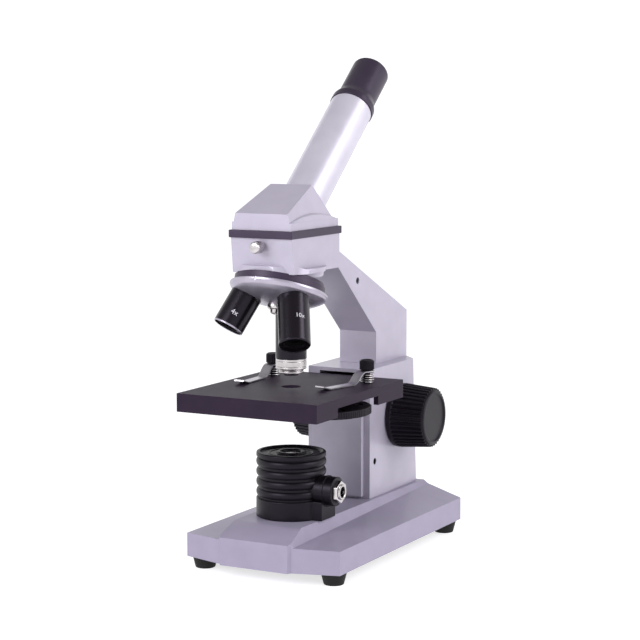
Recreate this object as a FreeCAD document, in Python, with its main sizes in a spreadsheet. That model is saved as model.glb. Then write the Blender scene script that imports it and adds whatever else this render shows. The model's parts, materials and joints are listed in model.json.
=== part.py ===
import FreeCAD, Part
import math
import os
import re
import Sketcher
from FreeCAD import Placement, Rotation, Vector

# A compact monocular microscope with a rack-and-pinion stage.
#
# Local coordinates: the optical axis is x = 0, y = 0, with the feet on z = 0. The lamp and the
# objectives are at the front (-Y), and the pillar stands behind the stage (+Y). Each finished
# sub-part is then shifted along Y by SHIFT, so that the origin is under the middle of the whole.

os.makedirs("parts", exist_ok=True)
doc = FreeCAD.newDocument("Microscope")
sheet = doc.addObject("Spreadsheet::Sheet", "Sizes")

SIZES = [
    # Base casting and its feet
    ("foot_tall", 7.0, "height of a rubber foot"),
    ("foot_top_rad", 7.4, "radius of a foot where it meets the base"),
    ("foot_low_rad", 5.7, "radius of a foot on the table"),
    ("front_foot_x", 42.2, "front feet, distance from the middle plane"),
    ("front_foot_y", -27.0, "front feet, along the base"),
    ("back_foot_x", 42.6, "back feet, distance from the middle plane"),
    ("back_foot_y", 120.5, "back feet, along the base"),
    ("base_half", 50.0, "half width of the base"),
    ("base_back", 129.2, "back edge of the base"),
    ("base_side_front", -34.5, "front end of the straight sides"),
    ("wing_edge_top", 20.8, "top of the outer edge of the wings"),
    ("nose_half", 22.0, "half width of the stepped front"),
    ("nose_front", -44.5, "front face of the stepped front"),
    ("nose_step", 2.3, "how far the stepped front stands out of the wings"),
    ("nose_top", 23.0, "top edge of the front face"),
    ("crease_front_x", 24.0, "wing crease at the front, from the middle"),
    ("crease_front_top", 21.1, "wing crease at the front, height"),
    ("crease_back_x", 27.5, "wing crease at the back, from the middle"),
    ("crease_back_top", 27.8, "wing crease at the back, height"),
    ("deck_top", 30.0, "height of the flat deck under lamp and pillar"),
    ("deck_front_half", 21.5, "half width of the deck at the front"),
    ("deck_back_half", 24.5, "half width of the deck at the back"),
    ("deck_front", -27.5, "where the deck starts to slope to the front"),
    ("base_wall", 3.5, "wall of the base casting"),
    ("cover_thick", 2.0, "bottom cover plate"),
    ("cover_clear", 0.3, "gap round the bottom cover"),
    ("boss_rad", 5.0, "screw boss radius"),
    ("screw_rad", 1.5, "radius of the assembly screws"),
    ("screw_head_rad", 2.9, "radius of the assembly screw heads"),
    ("screw_head", 2.0, "height of the assembly screw heads"),
    ("screw_deep", 8.0, "thread length in the far piece"),
    ("thread_clear", 0.05, "radial gap round a screw or shaft"),
    # Pillar
    ("pillar_half", 21.0, "half width of the pillar"),
    ("pillar_front", 59.5, "front face of the pillar"),
    ("pillar_low_side", 125.0, "back end of the side faces at the base"),
    ("pillar_top_side", 119.5, "back end of the side faces at the top"),
    ("pillar_back", 128.0, "back face of the pillar"),
    ("pillar_back_half", 12.5, "half width of the back face"),
    ("pillar_top", 108.7, "top of the pillar"),
    ("pillar_lid", 2.3, "thickness of the pillar top"),
    ("pillar_wall", 3.2, "thickness of the pillar walls"),
    ("pillar_hollow_back", 112.0, "back of the pillar hollow"),
    ("plate_half", 17.0, "half width of the guide plate"),
    ("plate_thick", 3.0, "thickness of the guide plate"),
    ("plate_gap", 1.3, "gap between guide plate and deck"),
    ("plate_top", 94.0, "top of the guide plate"),
    ("slot_half", 13.2, "half width of the front slot"),
    ("slot_room", 1.1, "room under the lowered stage in the front slot"),
    ("side_screw_y", 66.4, "pillar side screw, along Y"),
    ("side_screw_z", 52.0, "pillar side screw, height"),
    # Arm and head block
    ("arm_half", 12.5, "half width of the arm"),
    ("arm_front", 84.5, "front face of the arm"),
    ("arm_back", 127.5, "back face of the arm"),
    ("arm_low_knee", 128.5, "height where the front face starts to lean"),
    ("arm_top_knee", 138.0, "height where the back face starts to lean"),
    ("arm_under_y", 33.0, "where the lean of the underside ends"),
    ("arm_under_top", 173.5, "height where the lean of the underside ends"),
    ("arm_top_end", 188.0, "top of the arm at the head block"),
    ("arm_screw_y", 59.6, "grub screw in the side of the arm, along Y"),
    ("arm_screw_z", 162.2, "grub screw in the side of the arm, height"),
    ("grub_rad", 2.0, "radius of the grub screws"),
    ("block_half", 19.6, "half width of the head block"),
    ("block_front", -34.0, "front of the head block at its top"),
    ("block_draft", 2.0, "how far the front leans back to its bottom"),
    ("block_back", 22.5, "back of the head block"),
    ("block_low", 173.5, "bottom of the head block"),
    ("block_top", 193.3, "top of the head block"),
    ("block_wall", 3.5, "walls of the head block"),
    ("band_tall", 4.3, "height of the black band"),
    ("band_over", 0.7, "how far the band stands out sideways"),
    ("band_front_over", 1.6, "how far the band stands out front and back"),
    # Head with its tube, and the eyepiece
    ("head_gap", 0.1, "running gap under the turning head"),
    ("collar_rad", 14.0, "collar on which the head turns"),
    ("collar_bore", 10.0, "bore of that collar"),
    ("collar_deep", 12.0, "length of that collar below the band"),
    ("cap_tier", 4.4, "height of the low tier of the cap"),
    ("cap_tier_half", 19.0, "half width of the low tier"),
    ("cap_tier_back", 22.0, "back of the low tier"),
    ("cap_foot_half", 17.8, "half width of the prism housing, low"),
    ("cap_roof_half", 13.5, "half width of the prism housing, top"),
    ("cap_brow", 207.0, "height where the front face starts to lean"),
    ("cap_roof_y", 0.5, "top edge of the cap, along Y"),
    ("cap_roof", 222.0, "top edge of the cap, height"),
    ("tube_lean", 49.2, "lean of the tube from upright, in degrees"),
    ("tube_seat_y", 11.3, "where the tube axis leaves the cap, along Y"),
    ("tube_seat_z", 209.4, "where the tube axis leaves the cap, height"),
    ("tube_rad", 13.0, "outer radius of the tube"),
    ("tube_bore", 11.6, "bore radius of the tube, for a 23.2 mm eyepiece"),
    ("tube_length", 83.3, "length of tube outside the cap"),
    ("tube_sunk", 2.0, "length of tube inside the cap"),
    ("eye_collar_rad", 13.5, "flared collar of the eyepiece"),
    ("eye_collar_long", 4.0, "straight part of that collar"),
    ("eye_taper_long", 5.5, "length of the taper above the collar"),
    ("eye_rad", 11.45, "outer radius of the eyepiece"),
    ("eye_length", 36.0, "length of the eyepiece outside the tube"),
    ("eye_sleeve", 24.0, "length of the eyepiece inside the tube"),
    ("eye_fit", 0.05, "radial gap of the eyepiece in the tube"),
    ("eye_bore", 9.5, "bore of the eyepiece"),
    ("eye_port", 7.0, "radius of the opening you look into"),
    # Revolving nosepiece with its objectives
    ("turret_lean", 20.0, "lean of the turret axis, in degrees"),
    ("turret_point", 201.97, "height where turret axis and optical axis cross"),
    ("turret_reach", 44.24, "from that point to the middle of the disc"),
    ("turret_rad", 28.2, "radius of the turret disc"),
    ("turret_rim", 3.0, "thickness of the disc at its rim"),
    ("turret_dome", 6.8, "depth of the domed underside"),
    ("turret_gap", 0.2, "running gap over the disc"),
    ("turret_hub", 5.0, "radius of the pivot screw head"),
    ("turret_hub_tall", 2.2, "height of the pivot screw head"),
    ("pivot_rad", 3.0, "radius of the turret pivot"),
    ("pivot_deep", 12.0, "how far the pivot reaches over the disc"),
    ("ring_rad", 26.0, "radius of the fixed black ring"),
    ("ring_thick", 4.0, "thickness of the fixed black ring"),
    ("ring_bore", 20.5, "hole in the fixed black ring"),
    ("seat_rad", 24.5, "radius of the slanted seat under the head block"),
    ("light_rad", 5.5, "radius of the light path through the head"),
    ("barrel_rad", 9.0, "radius of the objective barrels"),
    ("barrel_bore", 6.0, "bore of the objective barrels"),
    ("barrel_top", 47.6, "from the crossing point to the top of a barrel"),
    ("low_end", 72.5, "from the crossing point to the end of the low power"),
    ("mid_end", 81.3, "the same for the middle power"),
    ("high_end", 81.4, "the same for the barrel of the high power"),
    ("high_collar", 5.0, "length of the bright collar of the high power"),
    ("high_step", 3.8, "length of the step below that collar"),
    ("high_tip", 2.9, "length of the tip of the high power"),
    # Stage with its clips and its diaphragm
    ("stage_half", 45.0, "half width of the stage"),
    ("stage_front", -52.3, "front edge of the stage"),
    ("stage_back", 55.5, "back edge of the stage"),
    ("stage_top", 105.3, "height of the stage surface"),
    ("stage_thick", 3.0, "thickness of the stage plate"),
    ("skirt_tall", 10.6, "height of the stage edge"),
    ("skirt_thick", 3.0, "thickness of the skirt"),
    ("stage_hole", 5.75, "radius of the light hole in the stage"),
    ("window_front", -27.5, "front end of the gap in the right skirt"),
    ("window_back", 22.5, "back end of the gap in the right skirt"),
    ("window_top", 100.0, "top of the gap in the right skirt"),
    ("stage_drop", 14.0, "how far the stage can be lowered"),
    ("stage_rise", 2.4, "how far the stage can be raised"),
    ("tongue_half", 12.6, "half width of the carriage tongue"),
    ("tongue_low", 96.6, "underside of the carriage tongue"),
    ("tongue_front", 24.0, "front end of the carriage tongue"),
    ("carriage_low", 57.0, "bottom of the carriage"),
    ("carriage_half", 9.8, "half width of the sliding block"),
    ("carriage_front", 67.0, "front of the sliding block"),
    ("carriage_back", 88.0, "back of the sliding block"),
    ("slide_clear", 0.2, "gap at the slide ways"),
    ("post_x", 31.5, "clip posts, distance from the middle plane"),
    ("post_y", 34.5, "clip posts, along Y"),
    ("post_rad", 2.0, "radius of the clip posts"),
    ("post_head_rad", 4.9, "radius of the knurled heads"),
    ("post_head_low", 112.8, "underside of the knurled heads"),
    ("post_head_top", 119.0, "top of the knurled heads"),
    ("clip_wide", 6.5, "width of a clip"),
    ("clip_thick", 0.8, "thickness of a clip"),
    ("clip_long", 43.0, "length of a clip from its post"),
    ("clip_high", 111.8, "height of a clip at its post"),
    ("clip_lift", 0.15, "gap between a clip and the stage"),
    ("clip_curl", 1.8, "height of the curled tip"),
    ("clip_right_turn", -12.0, "rest angle of the right clip, in degrees"),
    ("clip_left_turn", 2.0, "rest angle of the left clip, in degrees"),
    ("spring_rad", 3.3, "middle radius of the clip springs"),
    ("spring_wire", 0.45, "wire radius of the clip springs"),
    ("spring_turns", 4.0, "turns of the clip springs"),
    ("iris_x", 21.0, "pivot of the diaphragm disc, from the middle"),
    ("iris_rad", 27.5, "radius of the diaphragm disc"),
    ("iris_low", 91.8, "underside of the diaphragm disc"),
    ("iris_thick", 4.4, "thickness of the diaphragm disc"),
    ("iris_big", 5.0, "radius of the largest diaphragm hole"),
    ("iris_less", 0.9, "how much smaller each next hole is"),
    ("iris_holes", 5, "number of diaphragm holes"),
    ("iris_pin", 2.0, "radius of the diaphragm pivot"),
    # Focusing drive
    ("shaft_y", 98.7, "focus shaft, along Y"),
    ("shaft_z", 76.0, "focus shaft, height"),
    ("shaft_rad", 3.0, "radius of the focus shaft"),
    ("bush_rad", 6.0, "radius of the shaft bushes"),
    ("gear_module", 0.8, "module of rack and pinion"),
    ("gear_teeth", 14, "teeth of the pinion"),
    ("gear_half", 4.0, "half width of rack and pinion"),
    ("gear_slack", 0.14, "backlash at the pitch line"),
    ("rack_teeth", 17, "teeth of the rack"),
    ("knob_inner", 21.5, "inner end of the knob grip, from the middle"),
    ("knob_long", 24.5, "length of the knob grip"),
    ("knob_big", 19.8, "radius of the grip at its inner end"),
    ("knob_small", 18.0, "radius of the grip at its outer end"),
    ("knob_plain", 3.5, "plain band at the inner end"),
    ("knob_bevel", 1.5, "bevel of the outer face"),
    ("knob_flutes", 40, "number of flutes"),
    ("flute_deep", 0.9, "depth of a flute"),
    ("flute_wide", 1.3, "width of a flute"),
    ("knob_shell", 2.5, "wall between shaft end and outer face"),
    # Lamp
    ("lamp_rad", 20.4, "radius of the lamp housing"),
    ("lamp_base_top", 41.0, "top of the plain lamp base"),
    ("lamp_side", 24.5, "flat side of the lamp base, from the middle"),
    ("lamp_side_half", 8.5, "half width of that flat side"),
    ("lamp_cap_low", 65.0, "underside of the lamp cap"),
    ("lamp_top", 68.0, "top of the lamp"),
    ("lamp_dish", 1.6, "depth of the recess in the lamp cap"),
    ("lamp_rim", 2.2, "width of the raised rim of the lamp cap"),
    ("lamp_ring", 8.3, "outer radius of the ring round the window"),
    ("lamp_hole", 5.7, "radius of the lamp window opening"),
    ("lamp_wall", 2.6, "wall of the lamp housing"),
    ("rib_count", 4, "number of cooling ribs"),
    ("rib_groove", 1.6, "height of the groove between ribs"),
    ("rib_deep", 1.4, "depth of the groove between ribs"),
    ("window_thick", 1.5, "thickness of the lamp window"),
    ("jack_z", 46.5, "height of the power socket"),
    ("jack_rad", 8.5, "radius of the socket barrel"),
    ("jack_end", 30.3, "outer face of the socket barrel, from the middle"),
    ("jack_flange", 9.0, "radius of the flange round the barrel"),
    ("jack_flange_thick", 1.2, "thickness of that flange"),
    ("jack_nut_flats", 11.5, "width of the nut across its flats"),
    ("jack_nut_thick", 2.6, "thickness of the nut"),
    ("jack_thread", 4.4, "radius of the threaded neck"),
    ("jack_neck", 3.6, "length of the threaded neck"),
    ("jack_bore", 3.15, "radius of the plug opening"),
    ("jack_pin", 1.0, "radius of the centre pin"),
    # Lock screw of the head
    ("lock_z", 188.5, "height of the lock screw"),
    ("lock_rad", 3.6, "radius of the knurled head"),
    ("lock_long", 8.4, "how far the screw stands out"),
    ("lock_neck", 2.0, "radius of the screw"),
]
ALIASES = set()
for row, (alias, value, note) in enumerate(SIZES, start=1):
    sheet.set("A%d" % row, note)
    sheet.set("B%d" % row, str(value))
    sheet.setAlias("B%d" % row, alias)
    ALIASES.add(alias)
doc.recompute()

SHIFT = "(-(base_back + stage_front) / 2)"
NODES = []


def size(alias):
    """The value of one named cell of the sheet."""
    return float(sheet.get(alias))


def bound(text):
    """An expression in which every alias is a reference to the sheet."""
    return re.sub(r"[a-z_]+", lambda word: "Sizes." + word.group() if word.group() in ALIASES else word.group(), text)


def bind(thing, prop, text):
    thing.setExpression(prop, bound(str(text)))


PLACES = {}


def seat(thing, x="0", y="0", z="0"):
    """Place a piece at a point given by three expressions."""
    PLACES[thing.Name] = (x, y, z)
    bind(thing, "Placement.Base.x", x)
    bind(thing, "Placement.Base.y", y)
    bind(thing, "Placement.Base.z", z)
    return thing


def lean(thing, angle, y, z):
    """Put a piece on an axis through y, z that leans towards the back, at its own height on that axis."""
    along = PLACES.get(thing.Name, ("0", "0", "0"))[2]
    thing.Placement = Placement(Vector(), Rotation(Vector(1, 0, 0), 1))
    bind(thing, "Placement.Rotation.Angle", "-(%s)" % angle)
    return seat(thing, "0", "%s + (%s) * sin(%s)" % (y, along, angle), "%s + (%s) * cos(%s)" % (z, along, angle))


TURNS = {
    "+x": Rotation(Vector(0, 1, 0), 90),
    "-x": Rotation(Vector(0, 1, 0), -90),
    "+y": Rotation(Vector(1, 0, 0), -90),
}


def point_along(thing, way):
    """Turn a piece so that its own Z points along this axis."""
    thing.Placement = Placement(Vector(), TURNS[way])
    return thing


def node(label, thing, x="0", y="0", z="0"):
    """Name a finished sub-part, move it by x, y, z and place it in the frame of the whole."""
    own_x, own_y, own_z = PLACES.get(thing.Name, ("0", "0", "0"))
    thing.Label = label
    seat(thing, "%s + %s" % (own_x, x), "%s + %s + %s" % (own_y, y, SHIFT), "%s + %s" % (own_z, z))
    NODES.append(thing)


def brick(x0, x1, y0, y1, z0, z1):
    """A box between two values on each axis."""
    thing = doc.addObject("Part::Box", "Brick")
    bind(thing, "Length", "(%s) - (%s)" % (x1, x0))
    bind(thing, "Width", "(%s) - (%s)" % (y1, y0))
    bind(thing, "Height", "(%s) - (%s)" % (z1, z0))
    return seat(thing, x0, y0, z0)


def rod(radius, start, end, way="+z", x="0", y="0", z="0"):
    """A cylinder from start to end along its own axis, which runs through the point x, y, z."""
    thing = doc.addObject("Part::Cylinder", "Rod")
    bind(thing, "Radius", radius)
    bind(thing, "Height", "(%s) - (%s)" % (end, start))
    if way == "+x":
        point_along(thing, way)
        return seat(thing, start, y, z)
    if way == "+y":
        point_along(thing, way)
        return seat(thing, x, start, z)
    return seat(thing, x, y, start)


def fuse(*things):
    thing = doc.addObject("Part::MultiFuse", "Joined")
    thing.Shapes = list(things)
    return thing


def common(*things):
    thing = doc.addObject("Part::MultiCommon", "Shared")
    thing.Shapes = list(things)
    return thing


def cut(base, *tools):
    thing = doc.addObject("Part::Cut", "Cut")
    thing.Base = base
    thing.Tool = tools[0] if len(tools) == 1 else fuse(*tools)
    return thing


def outline(sketch, points):
    """Draw a closed polygon whose corners are given by pairs of expressions."""
    count = len(points)
    for index in range(count):
        first = 2 * math.pi * index / count
        second = 2 * math.pi * (index + 1) / count
        start = Vector(30 * math.cos(first), 30 * math.sin(first), 0)
        end = Vector(30 * math.cos(second), 30 * math.sin(second), 0)
        sketch.addGeometry(Part.LineSegment(start, end))
    for index in range(count):
        sketch.addConstraint(Sketcher.Constraint("Coincident", index, 2, (index + 1) % count, 1))
    for index, (across, up) in enumerate(points):
        for kind, text in (("DistanceX", across), ("DistanceY", up)):
            number = sketch.addConstraint(Sketcher.Constraint(kind, -1, 1, index, 1, 5.0))
            bind(sketch, "Constraints[%d]" % number, text)
    return sketch


def body_sketch(body, role, points):
    sketch = body.newObject("Sketcher::SketchObject", "Outline")
    plane = [thing for thing in body.Origin.OriginFeatures if thing.Role == role][0]
    sketch.AttachmentSupport = [(plane, "")]
    sketch.MapMode = "FlatFace"
    return outline(sketch, points)


def turned(points):
    """A piece turned on a lathe about its own Z: the points are pairs of radius and height."""
    body = doc.addObject("PartDesign::Body", "Turned")
    sketch = body_sketch(body, "XZ_Plane", points)
    feature = body.newObject("PartDesign::Revolution", "Turn")
    feature.Profile = sketch
    feature.ReferenceAxis = (sketch, ["V_Axis"])
    feature.Angle = 360
    return body


def slab(role, points, depth):
    """An outline in one of the origin planes, padded by the same amount to both sides."""
    body = doc.addObject("PartDesign::Body", "Slab")
    sketch = body_sketch(body, role, points)
    feature = body.newObject("PartDesign::Pad", "Pad")
    feature.Profile = sketch
    feature.SideType = "Symmetric"
    bind(feature, "Length", depth)
    return body


def upright(points, low, high):
    """An outline in plan, padded from one height to another."""
    body = doc.addObject("PartDesign::Body", "Upright")
    sketch = body_sketch(body, "XY_Plane", points)
    bind(sketch, "AttachmentOffset.Base.z", low)
    feature = body.newObject("PartDesign::Pad", "Pad")
    feature.Profile = sketch
    bind(feature, "Length", "(%s) - (%s)" % (high, low))
    return body


def loft(way, low, low_points, high, high_points):
    """A solid between two outlines, which lie across the Y axis or across the Z axis."""
    sections = []
    for place, points in ((low, low_points), (high, high_points)):
        sketch = doc.addObject("Sketcher::SketchObject", "Section")
        if way == "y":
            sketch.Placement = Placement(Vector(), Rotation(Vector(1, 0, 0), 90))
            bind(sketch, "Placement.Base.y", place)
        else:
            bind(sketch, "Placement.Base.z", place)
        sections.append(outline(sketch, points))
    thing = doc.addObject("Part::Loft", "Loft")
    thing.Sections = sections
    thing.Solid = True
    thing.Ruled = True
    return thing


def mirrored(points):
    """Close the right half of a symmetric outline with its mirror image."""
    left = [("-(%s)" % across, up) for across, up in reversed(points)]
    return points + left


def drilled(base, radius, start, end, way="+z", x="0", y="0", z="0"):
    return cut(base, rod(radius, start, end, way, x, y, z))


def screw(start, end, way="+z"):
    """An assembly screw along its own axis: its head lies before start, its shank ends at end."""
    return turned([
        ("0", "%s - screw_head" % start),
        ("screw_head_rad", "%s - screw_head" % start),
        ("screw_head_rad", start),
        ("screw_rad", start),
        ("screw_rad", end),
        ("0", end),
    ])


# ---------------------------------------------------------------- base
FOOT_SPOTS = [
    ("front_right", "front_foot_x", "front_foot_y"),
    ("front_left", "-front_foot_x", "front_foot_y"),
    ("back_right", "back_foot_x", "back_foot_y"),
    ("back_left", "-back_foot_x", "back_foot_y"),
]
WING_CEILING = "(wing_edge_top - base_wall)"
DECK_CEILING = "(deck_top - base_wall)"
COVER_TOP = "(foot_tall + cover_thick)"
HOLE_RAD = "(screw_rad + thread_clear)"


def base_section(crease_x, crease_top, deck_half):
    return mirrored([
        ("base_half", "foot_tall"),
        ("base_half", "wing_edge_top"),
        (crease_x, crease_top),
        (deck_half, "deck_top"),
    ])


def make_base():
    body = loft(
        "y",
        "nose_front - 1", base_section("crease_front_x", "crease_front_top", "deck_front_half"),
        "base_back", base_section("crease_back_x", "crease_back_top", "deck_back_half"),
    )
    plan = upright(mirrored([
        ("base_half", "base_back"),
        ("base_half", "base_side_front"),
        ("nose_half + 1", "nose_front + nose_step"),
        ("nose_half", "nose_front"),
    ]), "foot_tall - 1", "deck_top + 1")
    front_slope = slab("YZ_Plane", [
        ("nose_front - 5", "nose_top"),
        ("nose_front", "nose_top"),
        ("deck_front", "deck_top"),
        ("deck_front", "deck_top + 5"),
        ("nose_front - 5", "deck_top + 5"),
    ], "3 * base_half")
    rim = "base_half - base_wall"
    rim_front = "base_side_front + base_wall"
    rim_back = "base_back - base_wall"
    hollow = brick("-(%s)" % rim, rim, rim_front, rim_back, "foot_tall - 1", WING_CEILING)
    deck_hollow = brick("-deck_front_half + base_wall", "deck_front_half - base_wall", rim_front + " + base_wall",
                        rim_back, COVER_TOP, DECK_CEILING)
    shell = cut(common(body, plan), front_slope, hollow, deck_hollow)
    bosses = [rod("boss_rad", COVER_TOP, WING_CEILING + " + 0.5", "+z", x, y) for _, x, y in FOOT_SPOTS]
    holes = [rod(HOLE_RAD, COVER_TOP + " - 1", WING_CEILING + " + 1", "+z", x, y) for _, x, y in FOOT_SPOTS]
    node("base_casting", cut(fuse(shell, *bosses), *holes))

    cover = brick("-(%s) + cover_clear" % rim, "%s - cover_clear" % rim, rim_front + " + cover_clear",
                  rim_back + " - cover_clear", "foot_tall", COVER_TOP)
    cover_holes = [rod(HOLE_RAD, "foot_tall - 1", COVER_TOP + " + 1", "+z", x, y) for _, x, y in FOOT_SPOTS]
    node("base_cover", cut(cover, *cover_holes))

    screws = []
    for name, x, y in FOOT_SPOTS:
        foot = turned([
            (HOLE_RAD, "foot_tall / 2"),
            ("screw_head_rad + 0.4", "foot_tall / 2"),
            ("screw_head_rad + 0.4", "0"),
            ("foot_low_rad", "0"),
            ("foot_top_rad", "foot_tall"),
            (HOLE_RAD, "foot_tall"),
        ])
        node("foot_" + name, foot, x, y)
        screws.append(seat(screw("foot_tall / 2", COVER_TOP + " + screw_deep - 1"), x, y))
    node("foot_screws", fuse(*screws))


# ---------------------------------------------------------------- pillar, arm and head block
SLOT_LOW = "(tongue_low - stage_drop - slot_room)"
ARM_SCREW_SPOTS = [("-7", "arm_front + 14"), ("7", "arm_front + 14"), ("0", "pillar_hollow_back - 4")]
HEAD_SCREW_SPOTS = [("-8", "block_low + 8.5"), ("8", "block_low + 8.5")]


def pillar_plan(side_back):
    return mirrored([
        ("pillar_half", "pillar_front"),
        ("pillar_half", side_back),
        ("pillar_back_half", "pillar_back"),
    ])


def make_pillar():
    body = loft("z", "deck_top", pillar_plan("pillar_low_side"), "pillar_top", pillar_plan("pillar_top_side"))
    inner = "pillar_half - pillar_wall"
    ceiling = "(pillar_top - pillar_lid)"
    hollow = brick("-(%s)" % inner, inner, "pillar_front + pillar_wall", "pillar_hollow_back", "deck_top - 1", ceiling)
    slot = brick("-slot_half", "slot_half", "pillar_front - 1", "pillar_front + pillar_wall + 1", SLOT_LOW, ceiling)
    shaft_hole = rod("bush_rad", "-pillar_half - 1", "pillar_half + 1", "+x", y="shaft_y", z="shaft_z")
    grub_hole = rod("grub_rad", inner, "pillar_half + 1", "+x", y="side_screw_y", z="side_screw_z")
    screw_holes = [rod(HOLE_RAD, ceiling + " - 1", "pillar_top + 1", "+z", x, y) for x, y in ARM_SCREW_SPOTS]
    node("pillar_housing", cut(body, hollow, slot, shaft_hole, grub_hole, *screw_holes))

    plate = brick("-plate_half", "plate_half", "pillar_front - plate_thick", "pillar_front", "deck_top + plate_gap",
                  "plate_top")
    plate_slot = brick("-slot_half", "slot_half", "pillar_front - plate_thick - 1", "pillar_front + 1", SLOT_LOW,
                       "plate_top + 1")
    node("guide_plate", cut(plate, plate_slot))

    for side, x0, x1 in (("right", "carriage_half + slide_clear", inner),
                         ("left", "-(%s)" % inner, "-carriage_half - slide_clear")):
        way = brick(x0, x1, "carriage_front + 1", "carriage_back - 1", "deck_top + 6", "carriage_low + 30")
        node("slide_way_" + side, way)
    bushes = fuse(
        rod("bush_rad", inner, "pillar_half + 0.2", "+x", y="shaft_y", z="shaft_z"),
        rod("bush_rad", "-pillar_half - 0.2", "-(%s)" % inner, "+x", y="shaft_y", z="shaft_z"),
    )
    node("shaft_bushes", drilled(bushes, "shaft_rad + thread_clear", "-pillar_half - 1", "pillar_half + 1", "+x",
                                 y="shaft_y", z="shaft_z"))
    set_screw = rod("grub_rad", inner, "pillar_half - 0.4", "+x", y="side_screw_y", z="side_screw_z")
    return set_screw


def make_arm(set_screw):
    body = slab("YZ_Plane", [
        ("arm_front", "pillar_top"),
        ("arm_front", "arm_low_knee"),
        ("arm_under_y", "arm_under_top"),
        ("block_back", "arm_under_top"),
        ("block_back", "arm_top_end"),
        ("arm_back", "arm_top_knee"),
        ("arm_back", "pillar_top"),
    ], "2 * arm_half")
    screw_holes = [rod(HOLE_RAD, "pillar_top - 1", "pillar_top + screw_deep + 1", "+z", x, y)
                   for x, y in ARM_SCREW_SPOTS]
    head_holes = [rod(HOLE_RAD, "block_back - 1", "block_back + screw_deep + 1", "+y", x, z=z)
                  for x, z in HEAD_SCREW_SPOTS]
    grub_hole = rod("grub_rad", "arm_half - 6", "arm_half + 1", "+x", y="arm_screw_y", z="arm_screw_z")
    node("arm", cut(body, grub_hole, *screw_holes, *head_holes))
    grub = rod("grub_rad", "arm_half - 6", "arm_half - 1", "+x", y="arm_screw_y", z="arm_screw_z")
    node("grub_screws", fuse(set_screw, grub))
    pillar_screws = [seat(screw("pillar_top - pillar_lid", "pillar_top + screw_deep"), x, y)
                     for x, y in ARM_SCREW_SPOTS]
    node("arm_screws", fuse(*pillar_screws))
    block_screws = []
    for x, z in HEAD_SCREW_SPOTS:
        bolt = point_along(screw("0", "block_wall + screw_deep"), "+y")
        block_screws.append(seat(bolt, x, "block_back - block_wall", z))
    node("head_block_screws", fuse(*block_screws))


def block_plan(front):
    return mirrored([("block_half", front), ("block_half", "block_back")])


def tilted(thing):
    """Place a piece on the leaning axis of the revolving nosepiece, counted from the middle of its disc."""
    return lean(thing, "turret_lean", "-turret_reach * sin(turret_lean)",
                "turret_point - turret_reach * cos(turret_lean)")


RING_LOW = "(turret_rim + turret_gap)"
RING_TOP = "(turret_rim + turret_gap + ring_thick)"


def make_head_block():
    body = loft("z", "block_low", block_plan("block_front + block_draft"), "block_top", block_plan("block_front"))
    floor = "(block_low + block_wall)"
    inner = "block_half - block_wall"
    hollow = brick("-(%s)" % inner, inner, "block_front + block_draft + block_wall", "block_back - block_wall",
                   floor, "block_top + 1")
    mount = tilted(rod("seat_rad", RING_TOP, RING_TOP + " + 18"))
    below = brick("-2 * block_half", "2 * block_half", "-2 * block_half", "2 * block_half", "block_low - 20",
                  floor + " - 1")
    post = tilted(rod("boss_rad + 3", RING_LOW, RING_TOP + " + 1"))
    room = tilted(rod("ring_rad + 0.3", RING_LOW + " - 20", RING_TOP))
    pivot_hole = tilted(rod("pivot_rad", "0", RING_TOP + " + pivot_deep"))
    light = rod("light_rad", "block_low - 20", floor + " + 1")
    lock_hole = rod("lock_neck + thread_clear", "block_front - 1", "block_front + 8", "+y", z="lock_z")
    screw_holes = [rod(HOLE_RAD, "block_back - block_wall - 1", "block_back + 1", "+y", x, z=z)
                   for x, z in HEAD_SCREW_SPOTS]
    casting = fuse(cut(body, room, hollow), common(mount, below), post)
    node("head_block", cut(casting, pivot_hole, light, lock_hole, *screw_holes))

    ring = drilled(rod("ring_rad", RING_LOW, RING_TOP), "ring_bore", RING_LOW + " - 1", RING_TOP + " + 1")
    node("nosepiece_ring", tilted(ring))

    band = brick("-block_half - band_over", "block_half + band_over", "block_front - band_front_over",
                 "block_back + band_front_over", "block_top", "block_top + band_tall")
    node("head_band", drilled(band, "collar_rad + 0.3", "block_top - 1", "block_top + band_tall + 1"))


# ---------------------------------------------------------------- head and eyepiece
CAP_LOW = "(block_top + band_tall + head_gap)"
CAP_TIER_TOP = "(block_top + band_tall + head_gap + cap_tier)"


def on_tube(thing):
    """Place a piece on the leaning axis of the tube, counted from where it leaves the cap."""
    return lean(thing, "tube_lean", "tube_seat_y", "tube_seat_z")


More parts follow.
